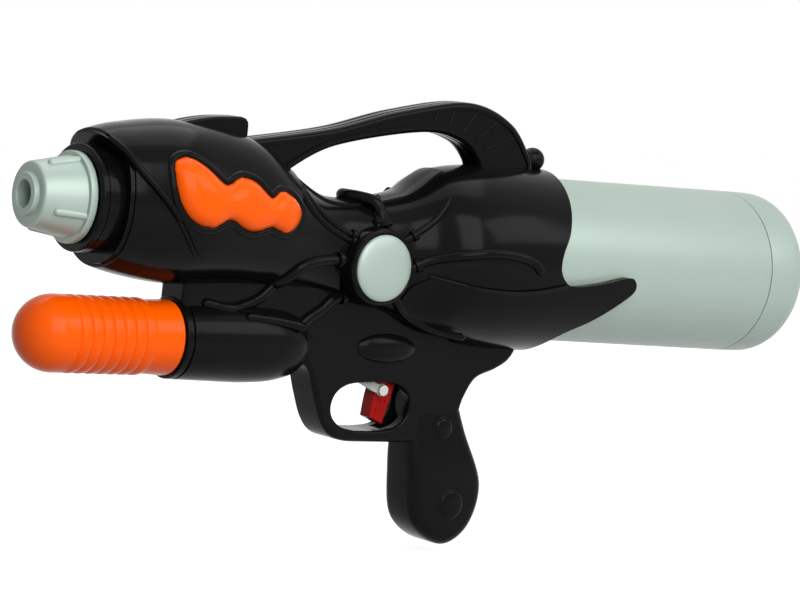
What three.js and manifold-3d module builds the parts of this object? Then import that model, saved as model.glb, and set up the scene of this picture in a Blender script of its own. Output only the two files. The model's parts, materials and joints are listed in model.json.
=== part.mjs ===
// Pump-up water squirter: two-piece black housing, grey screw-on nozzle, orange pump grip,
// grey rear tank, red trigger and the pump, valve and hoses inside.
// Millimetres. X runs from the nozzle to the tank, Z is up, Y = 0 is the joint of the two shells.
// Sizes are measured from the back of the nozzle flange on the barrel line; at the end
// everything is moved so that the origin sits in the middle of the pistol grip.

import * as THREE from "three";
import { mergeVertices } from "three/addons/utils/BufferGeometryUtils.js";
import Module from "manifold-3d";

const wasm = await Module();
wasm.setup();

// Walls and fits
const WALL = 2.3;
const RUN_GAP = 0.4;
const FIT_GAP = 0.3;
const SEAM_GAP = 0.3;
const RIB = 2.6;
const OUTSIDE = 400;
const OVER = 1;
const SIDE_REACH = OUTSIDE / 4;

// Where the hand holds the pistol grip
const GRIP_ORIGIN_X = 227;
const GRIP_ORIGIN_Z = -126;

// Nozzle
const NOZZLE_FLANGE_R = 21.3;
const NOZZLE_FLANGE_T = 3.6;
const NOZZLE_BACK_R = 19;
const NOZZLE_FRONT_R = 15;
const NOZZLE_FRONT_X = -24;
const NOZZLE_LIP_R = 10;
const NOZZLE_LIP_T = 2.5;
const NOZZLE_MOUTH_R = 6.4;
const NOZZLE_JET_R = 1.6;
const NOZZLE_JET_T = 3;
const NOZZLE_RIB_R = 2;
const NOZZLE_RIB_L = 15;
const NOZZLE_RIB_COUNT = 4;
const NOZZLE_RIB_TURN = -22;

// Barrel tube and its ring
const BARREL_R = 9;
const BARREL_BORE_R = 5.4;
const BARREL_FRONT_X = -12;
const BARREL_BACK_X = 56;
const BARREL_COLLAR_R = 13;
const BARREL_COLLAR_T = 3;
const BARREL_RING_X = -7;
const BARREL_RING_R = 1.1;

// Collar on the nose behind the nozzle
const COLLAR_R = 25;
const COLLAR_FRONT_X = 0.6;
const COLLAR_GROOVE_X = 4;
const COLLAR_GROOVE_T = 0.9;
const STEP_X = 12;

// Stations of the main body: place, top, bottom and half width
const FRONT_X = 3;
const FRONT_TOP = 29;
const FRONT_BOTTOM = -27;
const FRONT_HALF = 27.5;
const BROW_X = 20;
const BROW_TOP = 34;
const BROW_BOTTOM = -33;
const BROW_HALF = 32;
const CROWN_X = 50;
const CROWN_TOP = 37.5;
const CROWN_BOTTOM = -37;
const CROWN_HALF = 35;
const TAIL_X = 92;
const TAIL_TOP = 32;
const TAIL_BOTTOM = -36;
const TAIL_HALF = 29;
const WAIST_X = 138;
const WAIST_TOP = 9;
const WAIST_BOTTOM = -38;
const WAIST_HALF = 20;
const NECK_X = 178;
const NECK_TOP = 14;
const NECK_BOTTOM = -48;
const NECK_HALF = 25;
const SHOULDER_X = 208;
const SHOULDER_DROP = 4.5;
const CUP_X = 245;
const CUP_END_X = 314;
const BODY_TENSION = 0.45;
const BODY_SQUARE = 2.2;
const BODY_STEPS = 16;
const BODY_SIDES = 20;
const BORE_STEPS = 10;
const BORE_SIDES = 14;

// Facets round large, middling, small and hidden round forms
const FACETS_LARGE = 24;
const FACETS_MID = 18;
const FACETS_SMALL = 10;
const FACETS_FINE = 6;

// Tank
const TANK_R = 43;
const TANK_TAPER = 1.7;
const TANK_AXIS_Z = -14.5;
const TANK_WALL = 2.2;
const TANK_FRONT_X = 222;
const TANK_SHOULDER = 18;
const TANK_SEAM_X = 410;
const TANK_LENGTH_BACK = 31;
const TANK_END_CURVE = 15;
const TANK_SKIRT = 8;
const TANK_NECK_R = 19;
const TANK_NECK_L = 14;
const TANK_RUN_GAP = 0.7;
const CUP_WALL = 4;

// Tank socket, gasket and dip tube
const SOCKET_WALL = 3.5;
const SOCKET_FLOOR_T = 3;
const SOCKET_COLLAR = 2.4;
const GASKET_T = 1.4;
const DIP_TUBE_R = 3.2;
const DIP_TUBE_BORE_R = 2;
const DIP_TUBE_END_X = 396;

// Back edge of the cup with its side fin
const EDGE_TOP_X = 276;
const EDGE_UPPER_X = 269;
const EDGE_UPPER_Z = 14;
const EDGE_WAIST_X = 258.5;
const EDGE_WAIST_Z = -13;
const FIN_ROOT_X = 266;
const FIN_ROOT_Z = -24;
const FIN_TIP_X = 309;
const FIN_TIP_Z = -17.5;
const FIN_TIP_DEPTH = 9;
const FIN_LOW_X = 289;
const FIN_LOW_Z = -42;
const EDGE_LOW_X = 270;
const EDGE_LOW_Z = -54;
const CHEEK_T = 1.3;
const CHEEK_FRONT_X = 189;
const CHEEK_FRONT_Z = -25;

// Raised hood over the nose and strap round the waist
const HOOD_T = 1.2;
const HOOD_FRONT_X = 2.2;
const HOOD_FRONT_Z = 28;
const HOOD_BEND_X = 15;
const HOOD_BEND_Z = 16;
const HOOD_LOW_X = 41;
const HOOD_LOW_Z = -10;
const HOOD_KEEL_X = 58;
const HOOD_KEEL_Z = -22.5;
const HOOD_BACK_X = 106;
const HOOD_BACK_Z = -8;
const HOOD_END_X = 113;
const STRAP_FRONT_X = 149.5;
const STRAP_BACK_X = 157.5;
const STRAP_T = 1.8;

// Sight block and carry handle
const SIGHT_FRONT_X = 40;
const SIGHT_BACK_X = 88.5;
const SIGHT_BACK_Z = 43.8;
const SIGHT_FRONT_Z = 35;
const SIGHT_HALF = 6.5;
const HANDLE_HALF = 8;
const HANDLE_EDGE = 2.6;
const HANDLE_ROOT_X = 84;
const HANDLE_ROOT_Z = 33;
const HANDLE_RISE_X = 138;
const HANDLE_RISE_Z = 42.5;
const HANDLE_LIFT_X = 178;
const HANDLE_LIFT_Z = 54;
const HANDLE_APEX_X = 221;
const HANDLE_APEX_Z = 61.5;
const HANDLE_BEND_X = 249.5;
const HANDLE_BEND_Z = 53;
const HANDLE_HEEL_X = 266;
const HANDLE_HEEL_Z = 34;
const HANDLE_FOOT_X = 262;
const HANDLE_FOOT_Z = 27.5;
const HANDLE_LEG_X = 231;
const HANDLE_LEG_Z = 30;
const HANDLE_CROOK_X = 217;
const HANDLE_CROOK_Z = 42;
const HANDLE_SPAN_X = 192;
const HANDLE_SPAN_Z = 44.5;
const HANDLE_DIP_X = 140;
const HANDLE_DIP_Z = 34;
const HANDLE_THROAT_X = 113;
const HANDLE_THROAT_Z = 20;
const HANDLE_BALL_R = 6.2;
const HANDLE_BALL_X = 271;
const HANDLE_BALL_Z = 36;

// Flat frame under the body with the trigger opening
const FRAME_HALF = 10.5;
const FRAME_EDGE = 2;
const FRAME_FRONT_X = 59;
const FRAME_TOP_Z = -26;
const FRAME_REAR_TOP_Z = -52;
const FRAME_BELLY_X = 128;
const FRAME_BELLY_Z = -70;
const TANG_TIP_X = 266;
const TANG_TIP_Z = -58.5;
const TANG_LOW_X = 258;
const TANG_LOW_Z = -70.5;
const TANG_ROOT_X = 241;
const TANG_ROOT_Z = -76;
const BACKSTRAP_X = 234;
const BACKSTRAP_Z = -91;
const GUARD_HALF = 6.5;
const GUARD_FRONT_X = 138;
const GUARD_FRONT_Z = -78;
const GUARD_BOW_X = 146;
const GUARD_BOW_Z = -96;
const GUARD_LOW_X = 160;
const GUARD_LOW_Z = -109;
const HOLE_FRONT_X = 152;
const HOLE_BACK_X = 200;
const HOLE_TOP_Z = -80.5;
const HOLE_BOTTOM_Z = -104;
const HOLE_CURVE = 11;

// Pistol grip
const GRIP_HALF = 13;
const GRIP_EDGE = 5;
const GRIP_FRONT_X = 205.5;
const GRIP_FRONT_Z = -124;
const GRIP_TOE_X = 211;
const GRIP_TOE_Z = -150;
const GRIP_BOTTOM_X = 231;
const GRIP_BOTTOM_Z = -161.5;
const GRIP_HEEL_X = 247;
const GRIP_HEEL_Z = -152;
const GRIP_BACK_X = 252;
const GRIP_BACK_Z = -130;
const GRIP_CROWN_X = 240;
const GRIP_CROWN_Z = -104;
const GRIP_STUD_R = 5;
const GRIP_STUD_X = 226;
const GRIP_STUD_Z = -106;
const GRIP_KNOB_R = 7.4;
const GRIP_KNOB_X = 232;
const GRIP_KNOB_Z = -143;
const STUD_RISE = 1.6;

// Pump sleeve on the housing
const PUMP_AXIS_Z = -62.5;
const SLEEVE_FRONT_X = 58;
const SLEEVE_FRONT_R = 19.2;
const SLEEVE_BELLY_X = 100;
const SLEEVE_BELLY_R = 20.4;
const SLEEVE_BACK_X = 140;
const SLEEVE_RIB_X = 112;

// Pump
const PUMP_GRIP_R = 18.1;
const PUMP_GRIP_FRONT_X = -22.5;
const PUMP_WALL = 4.6;
const PUMP_GROOVE_FIRST_X = 4;
const PUMP_GROOVE_PITCH = 6;
const PUMP_GROOVE_COUNT = 7;
const PUMP_GROOVE_DEPTH = 0.9;
const CYLINDER_R = 12;
const CYLINDER_WALL = 2;
const CYLINDER_FRONT_X = -10;
const CYLINDER_BACK_X = 126;
const CYLINDER_COLLAR_R = 14.5;
const CYLINDER_COLLAR_T = 3;
const GLAND_T = 4;
const ROD_R = 3.6;
const ROD_SOCKET = 4;
const PISTON_X = 108;
const PISTON_T = 9;
const PISTON_RING_R = 1.2;
const CHECK_PLUG = 6;
const CHECK_FLANGE_T = 2.4;

// Trigger, its link and the water valve
const TRIGGER_PIVOT_X = 194;
const TRIGGER_PIVOT_Z = -66;
const TRIGGER_HALF = 4;
const TRIGGER_HUB_R = 5;
const TRIGGER_PIN_R = 2;
const TRIGGER_TOE_X = 181;
const TRIGGER_TOE_Z = -98;
const TRIGGER_TIP_X = 189;
const TRIGGER_TIP_Z = -101.5;
const TRIGGER_FACE_X = 180.5;
const TRIGGER_FACE_Z = -86;
const TRIGGER_BACK_X = 193;
const TRIGGER_BACK_Z = -88;
const TRIGGER_GROOVE = 0.7;
const LINK_PIN_X = 185;
const LINK_PIN_Z = -84;
const LINK_PIN_R = 1.8;
const LINK_PIN_HEAD_R = 2.7;
const LINK_PIN_HEAD_T = 1.4;
const LINK_SLOPE = 21;
const LINK_T = 1.8;
const LINK_HALF = 3;
const LINK_EYE_R = 3.6;
const LINK_EYE_PLAY = 0.4;
const LINK_LENGTH = 27;
const LINK_BLOCK_L = 4;
const VALVE_START = 31;
const VALVE_LENGTH = 17;
const VALVE_R = 5.6;
const VALVE_WALL = 1.4;
const VALVE_END_T = 2;
const VALVE_CAP_T = 3;
const STEM_R = 1.5;
const STEM_SEAL_R = 3.4;
const STEM_SEAL_T = 2;
const VALVE_SPRING_WIRE_R = 0.45;
const VALVE_SPRING_R = 2.7;
const VALVE_SPRING_TURNS = 4;
const PORT_LENGTH = 2.6;
const OUTLET_PORT = 14;
const INLET_PORT = 4.4;

// Hoses
const HOSE_R = 2.4;
const HOSE_BORE_R = 1.5;
const SPIGOT_R = 1.15;
const SPIGOT_L = 2.6;
const HOSE_LEAD = 7;
const HOSE_LANE = 5.6;
const HOSE_STEPS = 10;
const HOSE_SIDES = 6;
const SOCKET_PORT_Y = 8;
const SOCKET_PORT_Z = 8;

// Side panel, medallion and raised pipes
const PANEL_DEPTH = 1.2;
const PANEL_RISE = 3.2;
const PANEL_LIP = 2.2;
const PANEL_LIP_RISE = 2;
const LOBE_A_X = 47;
const LOBE_A_Z = 4.5;
const LOBE_A_R = 11.4;
const LOBE_B_X = 74.5;
const LOBE_B_Z = 4.2;
const LOBE_B_R = 12;
const LOBE_C_X = 98.5;
const LOBE_C_Z = 1.7;
const LOBE_C_R = 9.4;
const LOBE_TIP_X = 38.4;
const LOBE_TIP_Z = 16.6;
const LOBE_TIP_R = 6.4;
const LOBE_NECK = 0.58;
const HUB_X = 162;
const HUB_Z = -22;
const HUB_R = 20.5;
const HUB_FACE_Y = 28;
const HUB_EDGE = 2;
const MEDALLION_R = 16.3;
const MEDALLION_SEAT = 2.4;
const MEDALLION_RISE = 3;
const PIPE_R = 2.6;
const PIPE_SIDES = 5;
const PIPE_STEPS = 4;

// Housing screws, driven from the right
const SCREW_R = 1.5;
const SCREW_HEAD_R = 2.8;
const SCREW_HEAD_T = 2;
const SCREW_LENGTH = 12;
const SCREW_SEAT_Y = 3.5;
const SCREW_POST_R = 4.4;
const SCREW_NOSE_X = 28;
const SCREW_NOSE_Z = 23;
const SCREW_CHIN_X = 84;
const SCREW_CHIN_Z = -23;
const SCREW_BROW_X = 106;
const SCREW_BROW_Z = 28;
const SCREW_HANDLE_X = 244;
const SCREW_HANDLE_Z = 46;
const SCREW_FRAME_X = 174;
const SCREW_FRAME_Z = -64;
const SCREW_TANG_X = 236;
const SCREW_TANG_Z = -66;
const SCREW_GRIP_X = 219;
const SCREW_GRIP_Z = -118;
const SCREW_BUTT_X = 224;
const SCREW_BUTT_Z = -150;

// Colours
const BLACK = 0x141515;
const SILVER = 0xc4cdca;
const ORANGE = 0xff6a08;
const RED = 0xc41d1d;
const WHITE = 0xdadfdd;
const RUBBER = 0x2a2a2c;
const STEEL = 0x9aa0a3;
const CLEAR = 0xcfd8dc;

const HALF_TURN = Math.PI;
const FULL_TURN = Math.PI * 2;
const rad = THREE.MathUtils.degToRad;

// Solid helpers
function solid(geometry) {
  const bare = new THREE.BufferGeometry();
  bare.setAttribute("position", geometry.getAttribute("position").clone());
  if (geometry.index) {
    bare.setIndex(geometry.index.clone());
  }
  const welded = mergeVertices(bare, 1e-4);
  const index = welded.index.array;
  const kept = [];
  for (let i = 0; i < index.length; i += 3) {
    const [a, b, c] = [index[i], index[i + 1], index[i + 2]];
    if (a !== b && b !== c && c !== a) {
      kept.push(a, b, c);
    }
  }
  const mesh = new wasm.Mesh({
    numProp: 3,
    vertProperties: new Float32Array(welded.getAttribute("position").array),
    triVerts: new Uint32Array(kept),
  });
  return new wasm.Manifold(mesh);
}

function geometryOf(body) {
  const mesh = body.getMesh();
  const geometry = new THREE.BufferGeometry();
  geometry.setAttribute("position", new THREE.BufferAttribute(new Float32Array(mesh.vertProperties), 3));
  geometry.setIndex(new THREE.BufferAttribute(new Uint32Array(mesh.triVerts), 1));
  return geometry;
}

function joined(first, ...rest) {
  return rest.reduce((sum, part) => sum.add(part), first);
}

function cut(first, ...rest) {
  return rest.reduce((sum, part) => sum.subtract(part), first);
}

// Box given by its limits
function box(x0, x1, y0, y1, z0, z1) {
  const geometry = new THREE.BoxGeometry(x1 - x0, y1 - y0, z1 - z0);
  geometry.translate((x0 + x1) / 2, (y0 + y1) / 2, (z0 + z1) / 2);
  return solid(geometry);
}

// Turned form about a line along X at height z; the profile runs (radius, x) from axis to axis
function turned(profile, z, sides = FACETS_LARGE) {
  const points = profile.map(([r, x]) => new THREE.Vector2(r, x));
  const geometry = new THREE.LatheGeometry(points, sides);
  geometry.rotateZ(-HALF_TURN / 2);
  geometry.translate(0, 0, z);
  return fixSign(geometry);
}

function fixSign(geometry) {
  const body = solid(geometry);
  if (body.volume() > 0) {
    return body;
  }
  const index = geometry.index.array;
  for (let i = 0; i < index.length; i += 3) {
    const keep = index[i];
    index[i] = index[i + 1];
    index[i + 1] = keep;
  }
  return solid(geometry);
}

// Ring or rod along X
function rodX(radius, x0, x1, z, sides = FACETS_MID) {
  return turned([[0, x0], [radius, x0], [radius, x1], [0, x1]], z, sides);
}

// Rod along Y
function rodY(radius, x, z, y0, y1, sides = FACETS_SMALL) {
  const geometry = new THREE.CylinderGeometry(radius, radius, y1 - y0, sides);
  geometry.translate(0, (y0 + y1) / 2, 0);
  geometry.translate(x, 0, z);
  return solid(geometry);
}

// Rod between two points
function rod(radius, from, to, sides = FACETS_SMALL) {
  const span = new THREE.Vector3().subVectors(to, from);
  const geometry = new THREE.CylinderGeometry(radius, radius, span.length(), sides);
  const turn = new THREE.Quaternion().setFromUnitVectors(new THREE.Vector3(0, 1, 0), span.clone().normalize());
  geometry.applyQuaternion(turn);
  const middle = from.clone().add(to).multiplyScalar(0.5);
  geometry.translate(middle.x, middle.y, middle.z);
  return solid(geometry);
}

// Ring of round wire about a line along X
function ringX(radius, wire, x, z, sides = FACETS_MID, around = FACETS_FINE) {
  const geometry = new THREE.TorusGeometry(radius, wire, around, sides);
  geometry.rotateY(HALF_TURN / 2);
  geometry.translate(x, 0, z);
  return fixSign(geometry);
}

// Outline of a shape as points, running anticlockwise
function outlineOf(shape, curves) {
  const points = shape.getPoints(curves);
  if (points[0].distanceTo(points[points.length - 1]) < 1e-6) {
    points.pop();
  }
  return THREE.ShapeUtils.isClockWise(points) ? points.reverse() : points;
}

// Where two lines of an outline cross
function meet(a, b) {
  const cross = a.dir.cross(b.dir);
  if (Math.abs(cross) < 1e-9) {
    return b.from.clone();
  }
  const t = b.from.clone().sub(a.from).cross(b.dir) / cross;
  return a.from.clone().addScaledVector(a.dir, t);
}

// Outline drawn in by a distance; a side that would turn round shrinks to a corner
function drawnIn(points, distance) {
  const count = points.length;
  const lines = points.map((from, i) => {
    const dir = points[(i + 1) % count].clone().sub(from).normalize();
    const inward = new THREE.Vector2(-dir.y, dir.x);
    return { from: from.clone().addScaledVector(inward, distance), dir };
  });
  let live = lines.map((line, i) => i);
  for (let turn = 0; turn < count; turn += 1) {
    const corners = live.map((e, k) => meet(lines[live[(k + live.length - 1) % live.length]], lines[e]));
    let worst = -1;
    let least = 1e-6;
    live.forEach((e, k) => {
      const run = corners[(k + 1) % live.length].clone().sub(corners[k]).dot(lines[e].dir);
      if (run < least) {
        least = run;
        worst = k;
      }
    });
    if (worst < 0) {
      break;
    }
    live = live.filter((e, k) => k !== worst);
  }
  return points.map((from, i) => {
    const after = live.find((e) => e >= i) ?? live[0];
    const before = live.findLast((e) => e < i) ?? live[live.length - 1];
    return meet(lines[before], lines[after]);
  });
}

// Side-view outline given thickness across Y, edges rounded by edge, outline drawn in by inset
function slab(shape, half, edge, inset = 0, curves = 4, rounds = 2) {
  const points = outlineOf(shape, curves);
  const rings = [];
  for (let i = 0; i <= rounds; i += 1) {
    const a = (HALF_TURN / 2) * (i / rounds);
    rings.push({ y: edge * Math.sin(a) - edge + half, points: drawnIn(points, inset + edge * (1 - Math.cos(a))) });
  }
  const stack = [...rings].reverse().map((ring) => ({ y: -ring.y, points: ring.points })).concat(rings);
  return stacked(stack);
}

// Rings of equal point count, from low Y to high Y, closed at both ends
function stacked(rings) {
  const verts = [];
  const faces = [];
  const count = rings[0].points.length;
  for (const ring of rings) {
    for (const p of ring.points) {
      verts.push(p.x, ring.y, p.y);
    }
  }
  for (let r = 0; r + 1 < rings.length; r += 1) {
    for (let i = 0; i < count; i += 1) {
      const j = (i + 1) % count;
      const base = r * count;
      faces.push(base + i, base + count + j, base + j);
      faces.push(base + i, base + count + i, base + count + j);
    }
  }
  const lid = (ring, base, flip) => {
    const keep = [];
    ring.points.forEach((p, i) => {
      const last = keep.length ? ring.points[keep[keep.length - 1]] : null;
      if (!last || last.distanceTo(p) > 1e-4) {
        keep.push(i);
      }
    });
    if (ring.points[keep[0]].distanceTo(ring.points[keep[keep.length - 1]]) < 1e-4) {
      keep.pop();
    }
    for (const [a, b, c] of THREE.ShapeUtils.triangulateShape(keep.map((i) => ring.points[i]), [])) {
      const face = [base + keep[a], base + keep[b], base + keep[c]];
      faces.push(...(flip ? face.reverse() : face));
    }
  };
  lid(rings[0], 0, false);
  lid(rings[rings.length - 1], (rings.length - 1) * count, true);
  const geometry = new THREE.BufferGeometry();
  geometry.setAttribute("position", new THREE.BufferAttribute(new Float32Array(verts), 3));
  geometry.setIndex(faces);
  return fixSign(geometry);
}

// Side-view outline cut square, right through
function prism(shape, y0, y1, curves = 10) {
  const points = outlineOf(shape, curves);
  return stacked([{ y: y0, points }, { y: y1, points }]);
}

const at = (x, z) => new THREE.Vector2(x, z);
const point = (x, y, z) => new THREE.Vector3(x, y, z);

// Round tube along a curve, hollow when a bore is given
function tube(points, radius, bore, sides = HOSE_SIDES, steps = HOSE_STEPS) {
  const path = new THREE.CatmullRomCurve3(points);
  const round = (r) => {
    const shape = new THREE.Shape();
    for (let i = 0; i < sides; i += 1) {
      const a = (FULL_TURN * i) / sides;
      if (i === 0) {
        shape.moveTo(r * Math.cos(a), r * Math.sin(a));
      } else {
        shape.lineTo(r * Math.cos(a), r * Math.sin(a));
      }
    }
    shape.closePath();
    return shape;
  };
  const body = (r) => fixSign(indexed(new THREE.ExtrudeGeometry(round(r), { steps, extrudePath: path })));
  return bore ? body(radius).subtract(body(bore)) : body(radius);
}

function indexed(geometry) {
  const bare = new THREE.BufferGeometry();
  bare.setAttribute("position", geometry.getAttribute("position").clone());
  return mergeVertices(bare, 1e-4);
}

// Main body: rings of rounded section carried along smooth top, bottom and width lines
const tankFrontR = TANK_R - TANK_TAPER;
const CUP_R = tankFrontR + TANK_RUN_GAP + CUP_WALL;
const CUP_TOP = TANK_AXIS_Z + CUP_R;
const CUP_BOTTOM = TANK_AXIS_Z - CUP_R;
const collarBack = STEP_X + WALL;
const heights = new THREE.CatmullRomCurve3([
  point(FRONT_X, FRONT_TOP, FRONT_BOTTOM),
  point(BROW_X, BROW_TOP, BROW_BOTTOM),
  point(CROWN_X, CROWN_TOP, CROWN_BOTTOM),
  point(TAIL_X, TAIL_TOP, TAIL_BOTTOM),
  point(WAIST_X, WAIST_TOP, WAIST_BOTTOM),
  point(NECK_X, NECK_TOP, NECK_BOTTOM),
  point(SHOULDER_X, CUP_TOP - SHOULDER_DROP, CUP_BOTTOM + SHOULDER_DROP),
  point(CUP_X, CUP_TOP, CUP_BOTTOM),
  point(CUP_END_X, CUP_TOP, CUP_BOTTOM),
], false, "catmullrom", BODY_TENSION);
const widths = new THREE.CatmullRomCurve3([
  point(FRONT_X, FRONT_HALF, BODY_SQUARE),
  point(BROW_X, BROW_HALF, BODY_SQUARE),
  point(CROWN_X, CROWN_HALF, BODY_SQUARE),
  point(TAIL_X, TAIL_HALF, BODY_SQUARE),
  point(WAIST_X, WAIST_HALF, BODY_SQUARE),
  point(NECK_X, NECK_HALF, BODY_SQUARE),
  point(SHOULDER_X, CUP_R - SHOULDER_DROP, 2),
  point(CUP_X, CUP_R, 2),
  point(CUP_END_X, CUP_R, 2),
], false, "catmullrom", BODY_TENSION);

function body(grow, steps = BODY_STEPS, sides = BODY_SIDES) {
  const verts = [];
  const faces = [];
  for (let i = 0; i <= steps; i += 1) {
    const t = i / steps;
    const high = heights.getPoint(t);
    const wide = widths.getPoint(t);
    const middle = (high.y + high.z) / 2;
    const up = (high.y - high.z) / 2 + grow;
    const out = wide.y + grow;
    const power = 2 / wide.z;
    const x = i === 0 ? high.x - grow : high.x;
    for (let j = 0; j < sides; j += 1) {
      const a = (FULL_TURN * j) / sides;
      const c = Math.cos(a);
      const s = Math.sin(a);
      verts.push(x, out * Math.sign(c) * Math.abs(c) ** power, middle + up * Math.sign(s) * Math.abs(s) ** power);
    }
  }
  const first = verts.length / 3;
  const front = heights.getPoint(0);
  const back = heights.getPoint(1);
  verts.push(front.x - grow, 0, (front.y + front.z) / 2);
  verts.push(back.x, 0, (back.y + back.z) / 2);
  for (let i = 0; i < steps; i += 1) {
    for (let j = 0; j < sides; j += 1) {
      const k = (j + 1) % sides;
      const p = i * sides + j;
      const q = i * sides + k;
      faces.push(p, q, p + sides);
      faces.push(q, q + sides, p + sides);
    }
  }
  for (let j = 0; j < sides; j += 1) {
    const k = (j + 1) % sides;
    faces.push(first, k, j);
    faces.push(first + 1, steps * sides + j, steps * sides + k);
  }
  const geometry = new THREE.BufferGeometry();
  geometry.setAttribute("position", new THREE.BufferAttribute(new Float32Array(verts), 3));
  geometry.setIndex(faces);
  return fixSign(geometry);
}

// Hood over the nose; below it the nose steps down to the collar
const overTop = CROWN_TOP + HOOD_T + OVER;
const hoodShape = new THREE.Shape();
hoodShape.moveTo(HOOD_FRONT_X, overTop);
hoodShape.lineTo(HOOD_FRONT_X, HOOD_FRONT_Z);
hoodShape.splineThru([at(HOOD_BEND_X, HOOD_BEND_Z), at(HOOD_LOW_X, HOOD_LOW_Z)]);
hoodShape.splineThru([at(HOOD_KEEL_X, HOOD_KEEL_Z), at(HOOD_BACK_X, HOOD_BACK_Z)]);
hoodShape.lineTo(HOOD_END_X, overTop);
hoodShape.closePath();
const hoodReach = prism(hoodShape, -SIDE_REACH, SIDE_REACH, 4);
const stepRing = cut(
  box(-OUTSIDE, STEP_X, -SIDE_REACH, SIDE_REACH, -SIDE_REACH, SIDE_REACH),
  rodX(COLLAR_R, -OUTSIDE, OUTSIDE, 0, FACETS_LARGE),
  hoodReach,
);
const strap = body(STRAP_T).intersect(
  box(STRAP_FRONT_X, STRAP_BACK_X, -SIDE_REACH, SIDE_REACH, -SIDE_REACH, SIDE_REACH),
);
const bodyOuter = joined(body(0).subtract(stepRing), body(HOOD_T).intersect(hoodReach), strap);
const bodyInner = body(-WALL, BORE_STEPS, BORE_SIDES).subtract(
  box(-OUTSIDE, collarBack, -OUTSIDE, OUTSIDE, -OUTSIDE, OUTSIDE),
);

// Tank and its turned end, with the room it needs in the housing
const neckFront = TANK_FRONT_X - TANK_NECK_L;
function tankOuter(grow) {
  const shoulder = [];
  const steps = 4;
  for (let i = 0; i <= steps; i += 1) {
    const a = (HALF_TURN / 2) * (i / steps);
    const r = tankFrontR - TANK_SHOULDER + TANK_SHOULDER * Math.sin(a) + grow;
    shoulder.push([r, TANK_FRONT_X + TANK_SHOULDER * (1 - Math.cos(a)) - grow]);
  }
  return turned([
    [0, neckFront - grow],
    [TANK_NECK_R + grow, neckFront - grow],
    [TANK_NECK_R + grow, TANK_FRONT_X - grow],
    ...shoulder,
    [TANK_R + grow, TANK_SEAM_X],
    [0, TANK_SEAM_X],
  ], TANK_AXIS_Z, FACETS_LARGE);
}

const tankHollow = turned([
  [0, neckFront - 1],
  [TANK_NECK_R - TANK_WALL, neckFront - 1],
  [TANK_NECK_R - TANK_WALL, TANK_FRONT_X + TANK_WALL],
  [tankFrontR - TANK_SHOULDER, TANK_FRONT_X + TANK_WALL],
  [tankFrontR - TANK_WALL, TANK_FRONT_X + TANK_SHOULDER],
  [TANK_R - TANK_WALL, TANK_SEAM_X + 1],
  [0, TANK_SEAM_X + 1],
], TANK_AXIS_Z, FACETS_LARGE);
const tank = tankOuter(0).subtract(tankHollow);

const endFace = TANK_SEAM_X + TANK_LENGTH_BACK;
const skirtR = TANK_R - TANK_WALL - FIT_GAP;
const endCurve = [];
const endSteps = 5;
for (let i = 0; i <= endSteps; i += 1) {
  const a = (HALF_TURN / 2) * (i / endSteps);
  endCurve.push([
    TANK_R - TANK_END_CURVE + TANK_END_CURVE * Math.cos(a),
    endFace - TANK_END_CURVE + TANK_END_CURVE * Math.sin(a),
  ]);
}
const tankEnd = turned([
  [0, endFace - TANK_WALL],
  [TANK_R - TANK_END_CURVE, endFace - TANK_WALL],
  [skirtR - TANK_WALL, TANK_SEAM_X],
  [skirtR - TANK_WALL, TANK_SEAM_X - TANK_SKIRT],
  [skirtR, TANK_SEAM_X - TANK_SKIRT],
  [skirtR, TANK_SEAM_X + FIT_GAP],
  [TANK_R, TANK_SEAM_X + FIT_GAP],
  ...endCurve,
  [0, endFace],
], TANK_AXIS_Z, FACETS_LARGE);

// Socket that holds the tank neck, with its gasket and dip tube
const gasketBack = neckFront - FIT_GAP;
const gasketFront = gasketBack - GASKET_T;
const floorBack = gasketFront - FIT_GAP;
const floorFront = floorBack - SOCKET_FLOOR_T;
const socketBore = TANK_NECK_R + RUN_GAP;
const socketR = socketBore + SOCKET_WALL;
const socketBack = neckFront + TANK_NECK_L / 2;
const ribFront = floorBack + 1;
const ribBack = ribFront + RIB;
const portOut = [point(0, SOCKET_PORT_Y, TANK_AXIS_Z - SOCKET_PORT_Z), point(0, -SOCKET_PORT_Y, TANK_AXIS_Z - SOCKET_PORT_Z)];
let tankSocket = turned([
  [0, floorFront],
  [socketR + SOCKET_COLLAR, floorFront],
  [socketR + SOCKET_COLLAR, ribFront - FIT_GAP],
  [socketR, ribFront - FIT_GAP],
  [socketR, ribBack + FIT_GAP],
  [socketR + SOCKET_COLLAR, ribBack + FIT_GAP],
  [socketR + SOCKET_COLLAR, socketBack],
  [socketBore, socketBack],
  [socketBore, floorBack],
  [0, floorBack],
], TANK_AXIS_Z, FACETS_MID);
for (const port of portOut) {
  const tip = port.clone().setX(floorFront - SPIGOT_L);
  const root = port.clone().setX(floorFront + SOCKET_FLOOR_T / 2);
  tankSocket = tankSocket.add(rod(SPIGOT_R, tip, root, HOSE_SIDES));
}
const dipHole = rodX(DIP_TUBE_R + FIT_GAP, floorBack - 1, floorBack + 1, TANK_AXIS_Z, FACETS_SMALL);
tankSocket = tankSocket.subtract(dipHole);
const tankGasket = cut(
  rodX(TANK_NECK_R, gasketFront, gasketBack, TANK_AXIS_Z, FACETS_LARGE),
  rodX(TANK_NECK_R - TANK_WALL - 1, gasketFront - 1, gasketBack + 1, TANK_AXIS_Z, FACETS_MID),
);
const dipTube = cut(
  rodX(DIP_TUBE_R, floorBack, DIP_TUBE_END_X, TANK_AXIS_Z, FACETS_SMALL),
  rodX(DIP_TUBE_BORE_R, floorBack - 1, DIP_TUBE_END_X + 1, TANK_AXIS_Z, FACETS_SMALL),
);

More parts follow.
